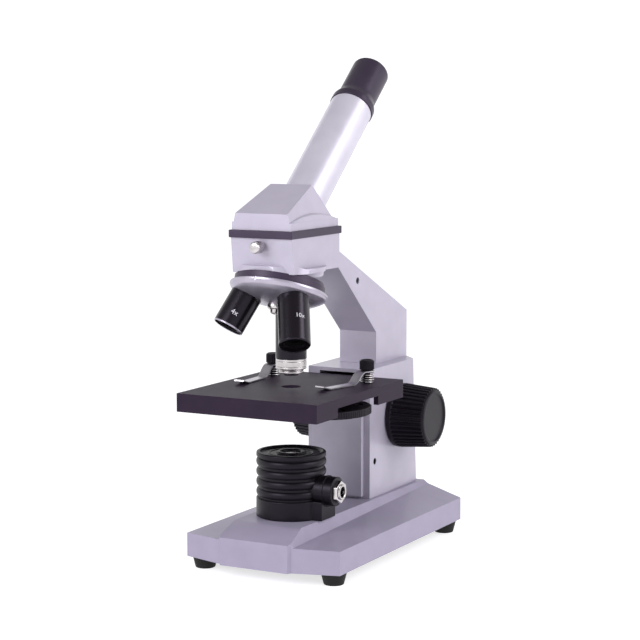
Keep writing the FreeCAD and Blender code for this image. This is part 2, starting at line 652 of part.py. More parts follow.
def make_head():
    tier = brick("-cap_tier_half", "cap_tier_half", "block_front", "cap_tier_back", CAP_LOW, CAP_TIER_TOP)
    back_run = "(cap_roof - %s) * sin(90 - tube_lean) / cos(90 - tube_lean)" % CAP_TIER_TOP
    profile = slab("YZ_Plane", [
        ("block_front", CAP_TIER_TOP + " - 1"),
        ("block_front", "cap_brow"),
        ("cap_roof_y", "cap_roof"),
        ("cap_roof_y + " + back_run, CAP_TIER_TOP),
        ("cap_roof_y + " + back_run, CAP_TIER_TOP + " - 1"),
    ], "4 * cap_foot_half")
    flanks = slab("XZ_Plane", mirrored([
        ("cap_foot_half", CAP_TIER_TOP + " - 2"),
        ("cap_foot_half", CAP_TIER_TOP),
        ("cap_roof_half", "cap_roof + 0.01"),
    ]), "8 * cap_foot_half")
    socket = on_tube(rod("tube_rad", "-tube_sunk", "30"))
    light = on_tube(rod("eye_port", "-tube_sunk - 12", "30"))
    chamber = brick("-11", "11", "-12", "9", CAP_LOW + " - 1", CAP_LOW + " + 12")
    cap = cut(fuse(tier, common(profile, flanks)), socket, light, chamber)
    node("head_cap", cap)

    prism = slab("YZ_Plane", [
        ("-9", CAP_LOW + " + 1"),
        ("8", CAP_LOW + " + 1"),
        ("8", CAP_LOW + " + 3"),
        ("-9", CAP_LOW + " + 11.5"),
    ], "21.9")
    node("head_prism", prism)

    collar = turned([
        ("collar_bore", CAP_LOW + " - band_tall - collar_deep"),
        ("collar_rad", CAP_LOW + " - band_tall - collar_deep"),
        ("collar_rad", CAP_LOW),
        ("collar_bore", CAP_LOW),
    ])
    node("head_collar", collar)

    node("eyepiece_tube", on_tube(turned([
        ("tube_bore", "-tube_sunk"),
        ("tube_rad", "-tube_sunk"),
        ("tube_rad", "tube_length"),
        ("tube_bore", "tube_length"),
    ])))


def make_eyepiece():
    rim = "(tube_length + 0.1)"
    node("eyepiece_body", on_tube(turned([
        ("eye_bore", rim + " - eye_sleeve"),
        ("tube_bore - eye_fit", rim + " - eye_sleeve"),
        ("tube_bore - eye_fit", rim),
        ("eye_collar_rad", rim),
        ("eye_collar_rad", rim + " + eye_collar_long"),
        ("eye_rad", rim + " + eye_collar_long + eye_taper_long"),
        ("eye_rad", rim + " + eye_length - 1.5"),
        ("eye_rad - 1.5", rim + " + eye_length"),
        ("eye_port", rim + " + eye_length"),
        ("eye_port", rim + " + eye_length - 2.5"),
        ("eye_bore", rim + " + eye_length - 2.5"),
    ])))
    node("eye_lens", on_tube(rod("eye_bore", rim + " + eye_length - 6", rim + " + eye_length - 2.5")))
    node("field_lens", on_tube(rod("eye_bore", rim + " - eye_sleeve + 2", rim + " - eye_sleeve + 5")))
    spacer = drilled(rod("eye_bore", rim + " - eye_sleeve + 5", rim + " + eye_length - 6"), "eye_bore - 1",
                     rim + " - eye_sleeve + 4", rim + " + eye_length - 5")
    node("eyepiece_spacer", on_tube(spacer))


def make_lock_screw():
    tip = "-collar_rad - 0.3"
    head = rod("lock_rad", "block_front - lock_long", "block_front - lock_long + 5.5", "+y", z="lock_z")
    neck = rod("lock_neck", "block_front - lock_long + 5", tip, "+y", z="lock_z")
    node("head_lock_screw", fuse(head, neck))


# ---------------------------------------------------------------- revolving nosepiece
STATIONS = [("high", 0), ("low", 120), ("middle", -120)]


def station(thing, angle, start=0.0):
    """Turn a piece, drawn down the optical axis from the crossing point, round to its station."""
    slope = math.radians(size("turret_lean"))
    axis = Vector(0, math.sin(slope), math.cos(slope))
    frame = Placement(Vector(0, 0, size("turret_point")), Rotation(axis, angle))
    thing.Placement = frame.multiply(Placement(Vector(0, 0, start), Rotation()))
    return thing


def station_node(label, thing, angle):
    station(thing, angle)
    bind(thing, "Placement.Base.y", SHIFT)
    thing.Label = label
    NODES.append(thing)


def loose_rod(radius, tall):
    """A cylinder that stands on its own origin and is placed later."""
    thing = doc.addObject("Part::Cylinder", "Rod")
    bind(thing, "Radius", radius)
    bind(thing, "Height", tall)
    return thing


HIGH_STEP_END = "(high_end + high_collar + high_step)"


def objective_outlines(name):
    """Barrel and nose of one objective: pairs of radius and place on its own axis."""
    wall = [("barrel_bore", "-barrel_top"), ("barrel_rad", "-barrel_top")]
    if name == "low":
        barrel = wall + [("barrel_rad", "-low_end + 1"), ("barrel_bore", "-low_end + 1")]
        nose = [("barrel_bore - 1", "-low_end + 1"), ("barrel_rad", "-low_end + 1"), ("barrel_rad", "-low_end"),
                ("barrel_bore - 1", "-low_end")]
    elif name == "middle":
        barrel = wall + [("barrel_rad", "-mid_end + 0.6"), ("barrel_rad - 0.6", "-mid_end"),
                         ("barrel_bore", "-mid_end")]
        nose = [("barrel_bore - 2.5", "-mid_end + 8"), ("barrel_bore", "-mid_end + 8"),
                ("barrel_bore", "-mid_end + 3"), ("barrel_bore - 2.5", "-mid_end + 3")]
    else:
        barrel = wall + [("barrel_rad", "-high_end"), ("barrel_bore", "-high_end")]
        nose = [
            ("3", "-high_end"),
            ("barrel_rad - 0.7", "-high_end"),
            ("barrel_rad - 0.7", "-high_end - high_collar"),
            ("barrel_rad - 2.6", "-high_end - high_collar"),
            ("barrel_rad - 3.4", "-" + HIGH_STEP_END),
            ("4.4", "-" + HIGH_STEP_END),
            ("3.4", "-%s - high_tip" % HIGH_STEP_END),
            ("1.5", "-%s - high_tip" % HIGH_STEP_END),
            ("1.5", "-" + HIGH_STEP_END),
        ]
    return barrel, nose


LENS_PLACES = {
    "low": ("barrel_bore - 1", "-low_end + 0.2", "-low_end + 2"),
    "middle": ("barrel_bore - 2.5", "-mid_end + 3.4", "-mid_end + 6"),
    "high": ("1.5", "-%s - high_tip + 0.2" % HIGH_STEP_END, "-%s - 0.2" % HIGH_STEP_END),
}


def make_turret():
    disc = tilted(turned([
        ("pivot_rad + thread_clear", "-turret_dome"),
        ("turret_hub + 0.6", "-turret_dome"),
        ("turret_rad - 9", "-0.62 * turret_dome"),
        ("turret_rad - 1.2", "-0.6"),
        ("turret_rad", "0"),
        ("turret_rad", "turret_rim"),
        ("pivot_rad + thread_clear", "turret_rim"),
    ]))
    holes = []
    for name, angle in STATIONS:
        holes.append(station(loose_rod("barrel_rad", "low_end - barrel_top"), angle, -size("low_end")))
        holes.append(station(loose_rod("barrel_bore", "low_end - barrel_top + 12"), angle, -size("low_end")))
    node("turret_disc", cut(disc, *holes))

    node("turret_pivot", tilted(turned([
        ("0", "-turret_dome - turret_hub_tall"),
        ("turret_hub - 0.8", "-turret_dome - turret_hub_tall"),
        ("turret_hub", "-turret_dome - turret_hub_tall + 0.8"),
        ("turret_hub", "-turret_dome"),
        ("pivot_rad - thread_clear", "-turret_dome"),
        ("pivot_rad - thread_clear", RING_TOP + " + pivot_deep - 0.5"),
        ("0", RING_TOP + " + pivot_deep - 0.5"),
    ])))
    lenses = []
    for name, angle in STATIONS:
        barrel, nose = objective_outlines(name)
        station_node("objective_%s_barrel" % name, turned(barrel), angle)
        station_node("objective_%s_nose" % name, turned(nose), angle)
        radius, low, high = LENS_PLACES[name]
        lenses.append(station(turned([("0", low), (radius, low), (radius, high), ("0", high)]), angle))
    node("objective_lenses", fuse(*lenses))


# ---------------------------------------------------------------- stage, clips and diaphragm
STAGE_UNDER = "(stage_top - stage_thick)"
SKIRT_LOW = "(stage_top - skirt_tall)"
CARRIAGE_TOP = "(pillar_top - pillar_lid - stage_rise - slide_clear)"
STAGE_SCREW_YS = ["tongue_front + 5", "stage_back - 7"]


def make_stage():
    body = brick("-stage_half", "stage_half", "stage_front", "stage_back", SKIRT_LOW, "stage_top")
    room = brick("-stage_half + skirt_thick", "stage_half - skirt_thick", "stage_front + skirt_thick",
                 "stage_back + 1", SKIRT_LOW + " - 1", STAGE_UNDER)
    window = brick("stage_half - skirt_thick - 1", "stage_half + 1", "window_front", "window_back",
                   SKIRT_LOW + " - 1", "window_top")
    boss = rod("boss_rad + 1", "iris_low + iris_thick + slide_clear", STAGE_UNDER + " + 1", "+z", "iris_x")
    light = rod("stage_hole", STAGE_UNDER + " - 1", "stage_top + 1")
    pin_hole = rod("iris_pin - 0.5 + thread_clear", "iris_low", STAGE_UNDER + " + 1", "+z", "iris_x")
    posts = [rod("post_rad + thread_clear", STAGE_UNDER + " - 1", "stage_top + 1", "+z", x, "post_y")
             for x in ("-post_x", "post_x")]
    screws = [rod(HOLE_RAD, STAGE_UNDER + " - 1", "stage_top - 0.8", "+z", "0", y) for y in STAGE_SCREW_YS]
    node("stage_plate", cut(fuse(cut(body, room, window), boss), light, pin_hole, *(posts + screws)))

    tongue = brick("-tongue_half", "tongue_half", "tongue_front", "carriage_front", "tongue_low", STAGE_UNDER)
    neck = brick("-tongue_half", "tongue_half", "stage_back + 0.3", "carriage_front", "tongue_low", CARRIAGE_TOP)
    block = brick("-carriage_half", "carriage_half", "carriage_front", "carriage_back", "carriage_low",
                  CARRIAGE_TOP)
    tongue_holes = [rod(HOLE_RAD, "tongue_low - 1", STAGE_UNDER + " + 1", "+z", "0", y) for y in STAGE_SCREW_YS]
    recesses = [rod("screw_head_rad + 0.2", "tongue_low - 1", "tongue_low + screw_head", "+z", "0", y)
                for y in STAGE_SCREW_YS]
    node("stage_carriage", cut(fuse(tongue, neck, block), *(tongue_holes + recesses)))
    bolts = [seat(screw("tongue_low + screw_head", "stage_top - 1"), "0", y) for y in STAGE_SCREW_YS]
    node("stage_screws", fuse(*bolts))

    pin_head_low = "(iris_low - slide_clear - 1.8)"
    node("diaphragm_pivot", turned([
        ("0", pin_head_low),
        ("boss_rad", pin_head_low),
        ("boss_rad", "iris_low - slide_clear"),
        ("iris_pin", "iris_low - slide_clear"),
        ("iris_pin", "iris_low + iris_thick + slide_clear"),
        ("iris_pin - 0.5", "iris_low + iris_thick + slide_clear"),
        ("iris_pin - 0.5", STAGE_UNDER + " - 0.5"),
        ("0", STAGE_UNDER + " - 0.5"),
    ]), "iris_x")

    disc = rod("iris_rad", "iris_low", "iris_low + iris_thick", "+z", "iris_x")
    holes = [rod("iris_pin + thread_clear", "iris_low - 1", "iris_low + iris_thick + 1", "+z", "iris_x")]
    for number in range(int(size("iris_holes"))):
        turn = "(180 + %d * 360 / iris_holes)" % number
        holes.append(rod("iris_big - %d * iris_less" % number, "iris_low - 1", "iris_low + iris_thick + 1", "+z",
                         "iris_x + iris_x * cos(%s)" % turn, "iris_x * sin(%s)" % turn))
    node("diaphragm_disc", cut(disc, *holes))


def spring_shape(middle):
    """A coil spring round a clip post, between stage and clip: eight flat sides stand for its round wire."""
    wire = size("spring_wire")
    radius = size("spring_rad")
    low = size("stage_top") + wire + 0.05
    tall = size("clip_high") - wire - 0.05 - low
    corners = []
    for corner in range(9):
        angle = 2 * math.pi * corner / 8
        corners.append(Vector(radius + wire * math.cos(angle), 0, wire * math.sin(angle)))
    helix = Part.makeHelix(tall / size("spring_turns"), tall, radius)
    coil = Part.Wire(helix).makePipe(Part.Face(Part.makePolygon(corners)))
    coil.translate(middle + Vector(0, 0, low))
    return coil


def make_clips():
    posts = []
    coils = []
    for sign in ("-", ""):
        post = turned([
            ("0", STAGE_UNDER + " - 2"),
            ("post_rad", STAGE_UNDER + " - 2"),
            ("post_rad", "post_head_low"),
            ("post_head_rad", "post_head_low"),
            ("post_head_rad", "post_head_top - 0.7"),
            ("post_head_rad - 0.7", "post_head_top"),
            ("0", "post_head_top"),
        ])
        posts.append(seat(post, sign + "post_x", "post_y"))
        coils.append(spring_shape(Vector(size("post_x") * (-1 if sign else 1), size("post_y"), 0)))
    node("clip_posts", fuse(*posts))
    springs = doc.addObject("Part::Feature", "Springs")
    springs.Shape = Part.makeCompound(coils)
    node("clip_springs", springs)

    flat = "(stage_top + clip_lift)"
    for side, sign, turn in (("right", "", "clip_right_turn"), ("left", "-", "clip_left_turn")):
        strip = slab("YZ_Plane", [
            ("3", "clip_high"),
            ("3", "clip_high + clip_thick"),
            ("-5.5", "clip_high + clip_thick"),
            ("-14", flat + " + clip_thick"),
            ("-clip_long + 7", flat + " + clip_thick"),
            ("-clip_long", flat + " + clip_curl + clip_thick"),
            ("-clip_long", flat + " + clip_curl"),
            ("-clip_long + 7", flat),
            ("-14 - clip_thick / 2", flat),
            ("-5.5 - clip_thick / 2", "clip_high"),
        ], "clip_wide")
        eye = rod("clip_wide / 2 + 1.2", "clip_high", "clip_high + clip_thick")
        clip = drilled(fuse(strip, eye), "post_rad + thread_clear", "clip_high - 1", "clip_high + 2")
        clip.Placement = Placement(Vector(), Rotation(Vector(0, 0, 1), 1))
        bind(clip, "Placement.Rotation.Angle", turn)
        node("clip_" + side, clip, sign + "post_x", "post_y")


# ---------------------------------------------------------------- focusing drive
def gear_shape():
    """Spur pinion about Z, with a tooth on +X: each flank is an involute through five points."""
    module = size("gear_module")
    teeth = int(size("gear_teeth"))
    pitch = module * teeth / 2
    base = pitch * math.cos(math.radians(20))
    tip = pitch + module * 0.95
    root = pitch - module * 1.15
    half = math.pi / 2 / teeth - size("gear_slack") / 2 / pitch

    def spread(radius):
        roll = math.acos(min(1.0, base / radius))
        return math.tan(roll) - roll

    radii = [max(base, root) + (tip - max(base, root)) * step / 4 for step in range(5)]
    flank = [(radius, half + spread(pitch) - spread(radius)) for radius in radii]
    corners = []
    for tooth in range(teeth):
        middle = 2 * math.pi * tooth / teeth
        lower = [(root, half + spread(pitch))] + flank
        for radius, angle in lower:
            corners.append(Vector(radius * math.cos(middle - angle), radius * math.sin(middle - angle), 0))
        for radius, angle in reversed(lower):
            corners.append(Vector(radius * math.cos(middle + angle), radius * math.sin(middle + angle), 0))
    corners.append(corners[0])
    tall = 2 * size("gear_half")
    wheel = Part.Face(Part.makePolygon(corners)).extrude(Vector(0, 0, tall))
    wheel.translate(Vector(0, 0, -tall / 2))
    bore = Part.makeCylinder(size("shaft_rad"), tall + 2, Vector(0, 0, -tall / 2 - 1))
    return wheel.cut(bore)


def make_drive():
    node("focus_shaft", rod("shaft_rad", "-knob_inner - knob_long + knob_shell", "knob_inner + knob_long - knob_shell",
                            "+x", y="shaft_y", z="shaft_z"))
    pinion = doc.addObject("Part::Feature", "Pinion")
    pinion.Shape = gear_shape()
    about_x = Rotation(Vector(0, 1, 0), 90)
    pinion.Placement = Placement(Vector(), Rotation(Vector(1, 0, 0), -90).multiply(about_x))
    node("focus_pinion", pinion, "0", "shaft_y", "shaft_z")

    step = "(pi * gear_module)"
    pitch_y = "(shaft_y - gear_module * gear_teeth / 2)"
    bar = brick("-gear_half", "gear_half", "carriage_back", pitch_y + " - gear_module",
                "carriage_low + 2", "carriage_low + 2 + rack_teeth * " + step)
    half_tip = "(%s / 4 - gear_slack / 2 - gear_module * tan(20))" % step
    half_root = "(%s / 4 - gear_slack / 2 + gear_module * tan(20))" % step
    first = "(shaft_z + %s / 2 - floor((shaft_z - carriage_low - 2 - %s / 2) / %s) * %s)" % (step, step, step, step)
    body = doc.addObject("PartDesign::Body", "Rack")
    sketch = body_sketch(body, "YZ_Plane", [
        (pitch_y + " - gear_module", "%s - %s" % (first, half_root)),
        (pitch_y + " + gear_module * 0.95", "%s - %s" % (first, half_tip)),
        (pitch_y + " + gear_module * 0.95", "%s + %s" % (first, half_tip)),
        (pitch_y + " - gear_module", "%s + %s" % (first, half_root)),
        (pitch_y + " - gear_module - 0.5", "%s + %s" % (first, half_root)),
        (pitch_y + " - gear_module - 0.5", "%s - %s" % (first, half_root)),
    ])
    tooth = body.newObject("PartDesign::Pad", "Tooth")
    tooth.Profile = sketch
    tooth.SideType = "Symmetric"
    bind(tooth, "Length", "2 * gear_half")
    doc.recompute()
    row = doc.addObject("Part::Feature", "Teeth")
    rise = math.pi * size("gear_module")
    count = int(size("rack_teeth")) - 1
    row.Shape = Part.makeCompound([tooth.Shape.translated(Vector(0, 0, rise * index)) for index in range(count)])
    node("focus_rack", fuse(bar, row))

    for side, way, sign in (("right", "+x", ""), ("left", "-x", "-")):
        body = turned([
            ("shaft_rad", "0"),
            ("knob_big", "0"),
            ("knob_big", "knob_plain"),
            ("knob_small", "knob_long - knob_bevel"),
            ("knob_small - knob_bevel", "knob_long"),
            ("0", "knob_long"),
            ("0", "knob_long - knob_shell"),
            ("shaft_rad", "knob_long - knob_shell"),
        ])
        flute = body_sketch(body, "XY_Plane", [
            ("knob_small - flute_deep", "-flute_wide / 2"),
            ("knob_big + 2", "-flute_wide / 2"),
            ("knob_big + 2", "flute_wide / 2"),
            ("knob_small - flute_deep", "flute_wide / 2"),
        ])
        bind(flute, "AttachmentOffset.Base.z", "knob_plain")
        groove = body.newObject("PartDesign::Pocket", "Flute")
        groove.Profile = flute
        groove.Reversed = True
        bind(groove, "Length", "knob_long")
        doc.recompute()
        around = body.newObject("PartDesign::PolarPattern", "Flutes")
        around.Originals = [groove]
        around.Axis = (body.Origin.OriginFeatures[2], [""])
        around.Angle = 360
        bind(around, "Occurrences", "knob_flutes")
        body.Tip = around
        point_along(body, way)
        node("knob_" + side, body, sign + "knob_inner", "shaft_y", "shaft_z")


# ---------------------------------------------------------------- lamp
def make_lamp():
    round_base = rod("lamp_rad", "deck_top", "lamp_base_top")
    side = brick("0", "lamp_side", "-lamp_side_half", "lamp_side_half", "deck_top", "lamp_base_top")
    chamber = rod("lamp_rad - lamp_wall", "deck_top + lamp_wall", "lamp_base_top + 1")
    jack_bed = rod("jack_flange + thread_clear", "lamp_rad - lamp_wall - 3", "lamp_side + 1", "+x", z="jack_z")
    node("lamp_base", cut(fuse(round_base, side), chamber, jack_bed))

    pitch = "((lamp_cap_low - lamp_base_top) / rib_count)"
    groove_rad = "lamp_rad - rib_deep"
    points = [("lamp_rad - lamp_wall", "lamp_base_top")]
    for number in range(int(size("rib_count"))):
        low = "lamp_base_top + %d * %s" % (number, pitch)
        points += [
            (groove_rad, low),
            (groove_rad, low + " + rib_groove"),
            ("lamp_rad", low + " + rib_groove + 0.5"),
            ("lamp_rad", low + " + %s - 0.5" % pitch),
        ]
    points += [(groove_rad, "lamp_cap_low"), ("lamp_rad - lamp_wall", "lamp_cap_low")]
    jack_room = rod("jack_rad + thread_clear", "0", "lamp_rad + 2", "+x", z="jack_z")
    node("lamp_housing", cut(turned(points), jack_room))

    dish = "lamp_top - lamp_dish"
    node("lamp_cap", turned([
        ("lamp_hole", "lamp_cap_low"),
        ("lamp_rad", "lamp_cap_low"),
        ("lamp_rad", "lamp_top - 0.6"),
        ("lamp_rad - 0.6", "lamp_top"),
        ("lamp_rad - lamp_rim", "lamp_top"),
        ("lamp_rad - lamp_rim - 0.6", dish),
        ("lamp_ring + 0.4", dish),
        ("lamp_ring", "lamp_top - 0.2"),
        ("lamp_hole", "lamp_top - 0.2"),
    ]))
    node("lamp_window", rod("lamp_hole", "lamp_cap_low + 0.2", "lamp_cap_low + 0.2 + window_thick"))
    board_low = "(lamp_cap_low - 7.4)"
    node("lamp_board", rod("lamp_rad - lamp_wall", board_low, board_low + " + 1.6"))
    node("lamp_led", turned([
        ("0", board_low + " + 1.6"),
        ("2.9", board_low + " + 1.6"),
        ("2.9", board_low + " + 2.6"),
        ("2.5", board_low + " + 2.6"),
        ("2.5", board_low + " + 5.5"),
        ("1.2", board_low + " + 7.2"),
        ("0", board_low + " + 7.2"),
    ]))

    barrel = turned([
        ("jack_bore", "lamp_rad - lamp_wall - 2"),
        ("jack_rad", "lamp_rad - lamp_wall - 2"),
        ("jack_rad", "lamp_side - 1"),
        ("jack_flange", "lamp_side - 1"),
        ("jack_flange", "lamp_side - 1 + jack_flange_thick"),
        ("jack_rad", "lamp_side - 1 + jack_flange_thick"),
        ("jack_rad", "jack_end"),
        ("jack_thread", "jack_end"),
        ("jack_thread", "jack_end + jack_neck"),
        ("jack_bore", "jack_end + jack_neck"),
    ])
    point_along(barrel, "+x")
    node("jack_socket", barrel, z="jack_z")
    nut = doc.addObject("Part::Prism", "Nut")
    nut.Polygon = 6
    bind(nut, "Circumradius", "jack_nut_flats / 2 / cos(30)")
    bind(nut, "Height", "jack_nut_thick")
    point_along(nut, "+x")
    seat(nut, "jack_end", "0", "jack_z")
    node("jack_nut", drilled(nut, "jack_thread", "jack_end - 1", "jack_end + 6", "+x", z="jack_z"))
    pin = fuse(
        rod("jack_pin", "lamp_rad - lamp_wall - 3", "jack_end + 1", "+x", z="jack_z"),
        rod("jack_bore", "lamp_rad - lamp_wall - 2", "lamp_rad - lamp_wall + 1", "+x", z="jack_z"),
    )
    node("jack_pin", pin)


make_base()
make_arm(make_pillar())
make_head_block()
make_head()
make_eyepiece()
make_lock_screw()
make_turret()
make_stage()
make_clips()
make_drive()
make_lamp()
doc.recompute()

for thing in doc.Objects:
    if "Invalid" in thing.State or "Error" in thing.State:
        raise RuntimeError("%s (%s) did not recompute" % (thing.Name, thing.Label))
for thing in NODES:
    if thing.Shape.isNull() or not thing.Shape.isValid() or not thing.Shape.Solids:
        raise RuntimeError("%s has no valid solid" % thing.Label)
for thing in NODES:
    thing.Shape.exportStep("parts/%s.step" % thing.Label)
whole = Part.makeCompound([thing.Shape for thing in NODES]).BoundBox
print("%d nodes, %.1f x %.1f x %.1f mm" % (len(NODES), whole.XLength, whole.YLength, whole.ZLength))
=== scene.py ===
# %% [markdown]
# # A student microscope, dressed piece by piece
# The CAD model gives every part its place and its size. This lesson loads that model as a fixed frame,
# and then makes the surfaces: rounded castings, turned barrels, ribs, knurls, springs and finishes.
# Everything is in metres and in the frame of the CAD model, so nothing has to be fitted afterwards.

# %% Load the frame
import json
import math

import bmesh
import bpy
from mathutils import Matrix, Vector


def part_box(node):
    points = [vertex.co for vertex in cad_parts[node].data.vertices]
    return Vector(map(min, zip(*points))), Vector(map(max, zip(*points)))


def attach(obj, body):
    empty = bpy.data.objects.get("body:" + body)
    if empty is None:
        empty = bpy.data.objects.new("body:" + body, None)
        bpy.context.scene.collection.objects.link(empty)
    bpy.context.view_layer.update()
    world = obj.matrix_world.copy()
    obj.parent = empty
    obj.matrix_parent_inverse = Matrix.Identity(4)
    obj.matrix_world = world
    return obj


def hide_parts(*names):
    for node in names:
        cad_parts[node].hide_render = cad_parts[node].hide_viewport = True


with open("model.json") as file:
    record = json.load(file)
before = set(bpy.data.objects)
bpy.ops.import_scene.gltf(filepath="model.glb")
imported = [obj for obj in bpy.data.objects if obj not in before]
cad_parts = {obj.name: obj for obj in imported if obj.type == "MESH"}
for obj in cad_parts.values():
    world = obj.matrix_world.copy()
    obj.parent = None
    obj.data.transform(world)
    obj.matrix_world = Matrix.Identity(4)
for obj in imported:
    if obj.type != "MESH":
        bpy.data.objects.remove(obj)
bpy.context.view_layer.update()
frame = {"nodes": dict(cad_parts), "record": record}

# %% [markdown]
# ## Places on the microscope
# A microscope is built round its optical axis, the straight line from lamp to eyepiece. All sizes below
# are in millimetres from that axis, and heights are counted from a datum below the stage surface. The
# turning collar under the head is round, so the middle of its box gives the axis, and the top of the
# stage gives the height. One helper turns millimetres into places in the scene.

# %% The optical axis
MM = 0.001
collar_low, collar_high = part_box("head_collar")
AXIS_Y = (collar_low.y + collar_high.y) / 2
STAGE_LEVEL = 108.3
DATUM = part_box("stage_plate")[1].z - STAGE_LEVEL * MM


def at(x, y, z):
    """A place in millimetres from the optical axis and the datum of heights, in metres of the scene."""
    return Vector((x * MM, y * MM + AXIS_Y, z * MM + DATUM))


print("optical axis at y = %.2f mm, datum at z = %.2f mm" % (AXIS_Y / MM, DATUM / MM))

# %% [markdown]
# ## Axes to turn pieces on
# Most pieces of a microscope are turned on a lathe, each about an axis of its own: the tube leans back,
# the nosepiece leans forward, and the knobs lie on their sides. A lathe piece is drawn upright at the
# origin, and one matrix then puts it on its axis. The three objectives share a matrix that is turned
# round the leaning axis of the nosepiece by a third of a turn.

# %% Matrices of the axes
TUBE_LEAN = math.radians(49.2)
TURRET_LEAN = math.radians(20.0)
CROSS_HEIGHT = 204.97
CROSS_TO_DISC = 44.24
CROSSING = at(0, 0, CROSS_HEIGHT)
TURRET_MIDDLE = at(0, -CROSS_TO_DISC * math.sin(TURRET_LEAN),
                   CROSS_HEIGHT - CROSS_TO_DISC * math.cos(TURRET_LEAN))


def placed(point, direction):
    """The matrix that puts a piece, drawn along +Z at the origin, at a point and along a direction."""
    turn = Vector((0, 0, 1)).rotation_difference(Vector(direction)).to_matrix().to_4x4()
    return Matrix.Translation(point) @ turn


def leaning(point, lean):
    """The same, leaning back from upright about X."""
    return Matrix.Translation(point) @ Matrix.Rotation(-lean, 4, "X")


def station(turns):
    """The axis of one objective, counted from the point where it crosses the nosepiece axis."""
    axis = Vector((0, math.sin(TURRET_LEAN), math.cos(TURRET_LEAN)))
    return Matrix.Translation(CROSSING) @ Matrix.Rotation(math.radians(turns), 4, axis)


ON_TUBE = leaning(at(0, 11.3, 212.4), TUBE_LEAN)
ON_TURRET = leaning(TURRET_MIDDLE, TURRET_LEAN)
STATIONS = {"high": station(0), "low": station(120), "middle": station(-120)}
UPRIGHT = Matrix.Translation(at(0, 0, 0))
SHAFT_MIDDLE = at(0, 98.7, 79.0)
RIGHT_SHAFT = placed(SHAFT_MIDDLE, (1, 0, 0))
LEFT_SHAFT = placed(SHAFT_MIDDLE, (-1, 0, 0))
print("eyepiece end at", tuple(round(v / MM, 1) for v in ON_TUBE @ Vector((0, 0, 119.4 * MM))))

# %% [markdown]
# ## Sums on sockets
# A finish is a small program made of nodes. Written as plain Python sums it can be read at a glance, so
# a small class wraps a socket, and each operator on it adds one Math node. Every other node comes from
# one method, which takes the type of the node, its settings, and the values or links of its sockets.

# %% The graph helper
class Wire:
    """A socket that gives a value. Sums on it add Math nodes."""

    def __init__(self, graph, socket):
        self.graph = graph
        self.socket = socket

    def sum_with(self, operation, first, second):
        return self.graph.node("ShaderNodeMath", {"operation": operation}, {0: first, 1: second})

    def __add__(self, other):
        return self.sum_with("ADD", self, other)

    def __radd__(self, other):
        return self.sum_with("ADD", other, self)

    def __sub__(self, other):
        return self.sum_with("SUBTRACT", self, other)

    def __rsub__(self, other):
        return self.sum_with("SUBTRACT", other, self)

    def __mul__(self, other):
        return self.sum_with("MULTIPLY", self, other)

    def __rmul__(self, other):
        return self.sum_with("MULTIPLY", other, self)

    def __truediv__(self, other):
        return self.sum_with("DIVIDE", self, other)

    def __rtruediv__(self, other):
        return self.sum_with("DIVIDE", other, self)


class Graph:
    """A node tree, of a finish or of a piece of geometry."""

    def __init__(self, tree):
        self.tree = tree

    def node(self, kind, settings=None, sockets=None, out=0):
        """Add a node: its settings first, then the values or links of its sockets."""
        made = self.tree.nodes.new(kind)
        for name, value in (settings or {}).items():
            if name == "stops":
                while len(made.color_ramp.elements) < len(value):
                    made.color_ramp.elements.new(0.5)
                for element, (position, colour) in zip(made.color_ramp.elements, value):
                    element.position = position
                    element.color = colour
            else:
                setattr(made, name, value)
        for name, value in (sockets or {}).items():
            socket = self.find(made.inputs, name)
            if isinstance(value, (list, tuple)) and value and isinstance(value[0], Wire):
                for wire in value:
                    self.tree.links.new(wire.socket, socket)
            elif isinstance(value, Wire):
                self.tree.links.new(value.socket, socket)
            else:
                socket.default_value = value
        return Wire(self, self.find(made.outputs, out)) if made.outputs else made

    @staticmethod
    def find(sockets, name):
        """A socket by its number, its identifier or its name."""
        if isinstance(name, int):
            return sockets[name]
        for socket in sockets:
            if socket.identifier == name:
                return socket
        return sockets[name]


print("graph helper ready")

# %% [markdown]
# ## Finishes
# The real microscope has few materials, and each has its own grain. Cast parts wear a silver paint with
# fine flakes under a soft gloss. The stage and the small fittings are black: powder paint, moulded
# plastic and anodised barrels differ in gloss and in the size of their grain. One recipe serves them all:
# two noises of different size vary colour and roughness a little, and the finer one also gives the bump.

# %% Recipe of a surface finish
FINISHES = {}


def tone(code):
    """A colour written as six hexadecimal digits, as linear light."""
    parts = [int(code[place:place + 2], 16) / 255 for place in (0, 2, 4)]
    return [part / 12.92 if part < 0.04045 else ((part + 0.055) / 1.055) ** 2.4 for part in parts] + [1.0]


def new_finish(name):
    """Start an empty material under its name, and give its graph, ready for nodes."""
    material = bpy.data.materials.new(name)
    material.use_nodes = True
    material.node_tree.nodes.clear()
    FINISHES[name] = material
    return Graph(material.node_tree)


def surface(graph, sockets):
    """The surface shader with its values, joined to the output."""
    shader = graph.node("ShaderNodeBsdfPrincipled", {}, sockets)
    graph.node("ShaderNodeOutputMaterial", {"target": "ALL"}, {"Surface": shader})


def grain(graph, size_mm, detail=2.0, stretch=(1, 1, 1)):
    """Noise whose spots are about that many millimetres across, as a number from 0 to 1."""
    place = graph.node("ShaderNodeTexCoord", {}, {}, "Object")
    if stretch != (1, 1, 1):
        place = graph.node("ShaderNodeMapping", {}, {"Vector": place, "Scale": stretch})
    return graph.node("ShaderNodeTexNoise", {}, {
        "Vector": place, "Scale": 1.0 / (size_mm * MM), "Detail": detail, "Roughness": 0.55}, 0)


def blended(graph, factor, first, second):
    """Two colours mixed by a factor."""
    return graph.node("ShaderNodeMix", {"data_type": "RGBA"}, {
        "Factor_Float": factor, "A_Color": first, "B_Color": second}, "Result_Color")


def bumped(graph, height, depth_mm, strength):
    """A height from 0 to 1 as a bump of that depth."""
    return graph.node("ShaderNodeBump", {}, {
        "Strength": strength, "Distance": depth_mm * MM, "Height": height})


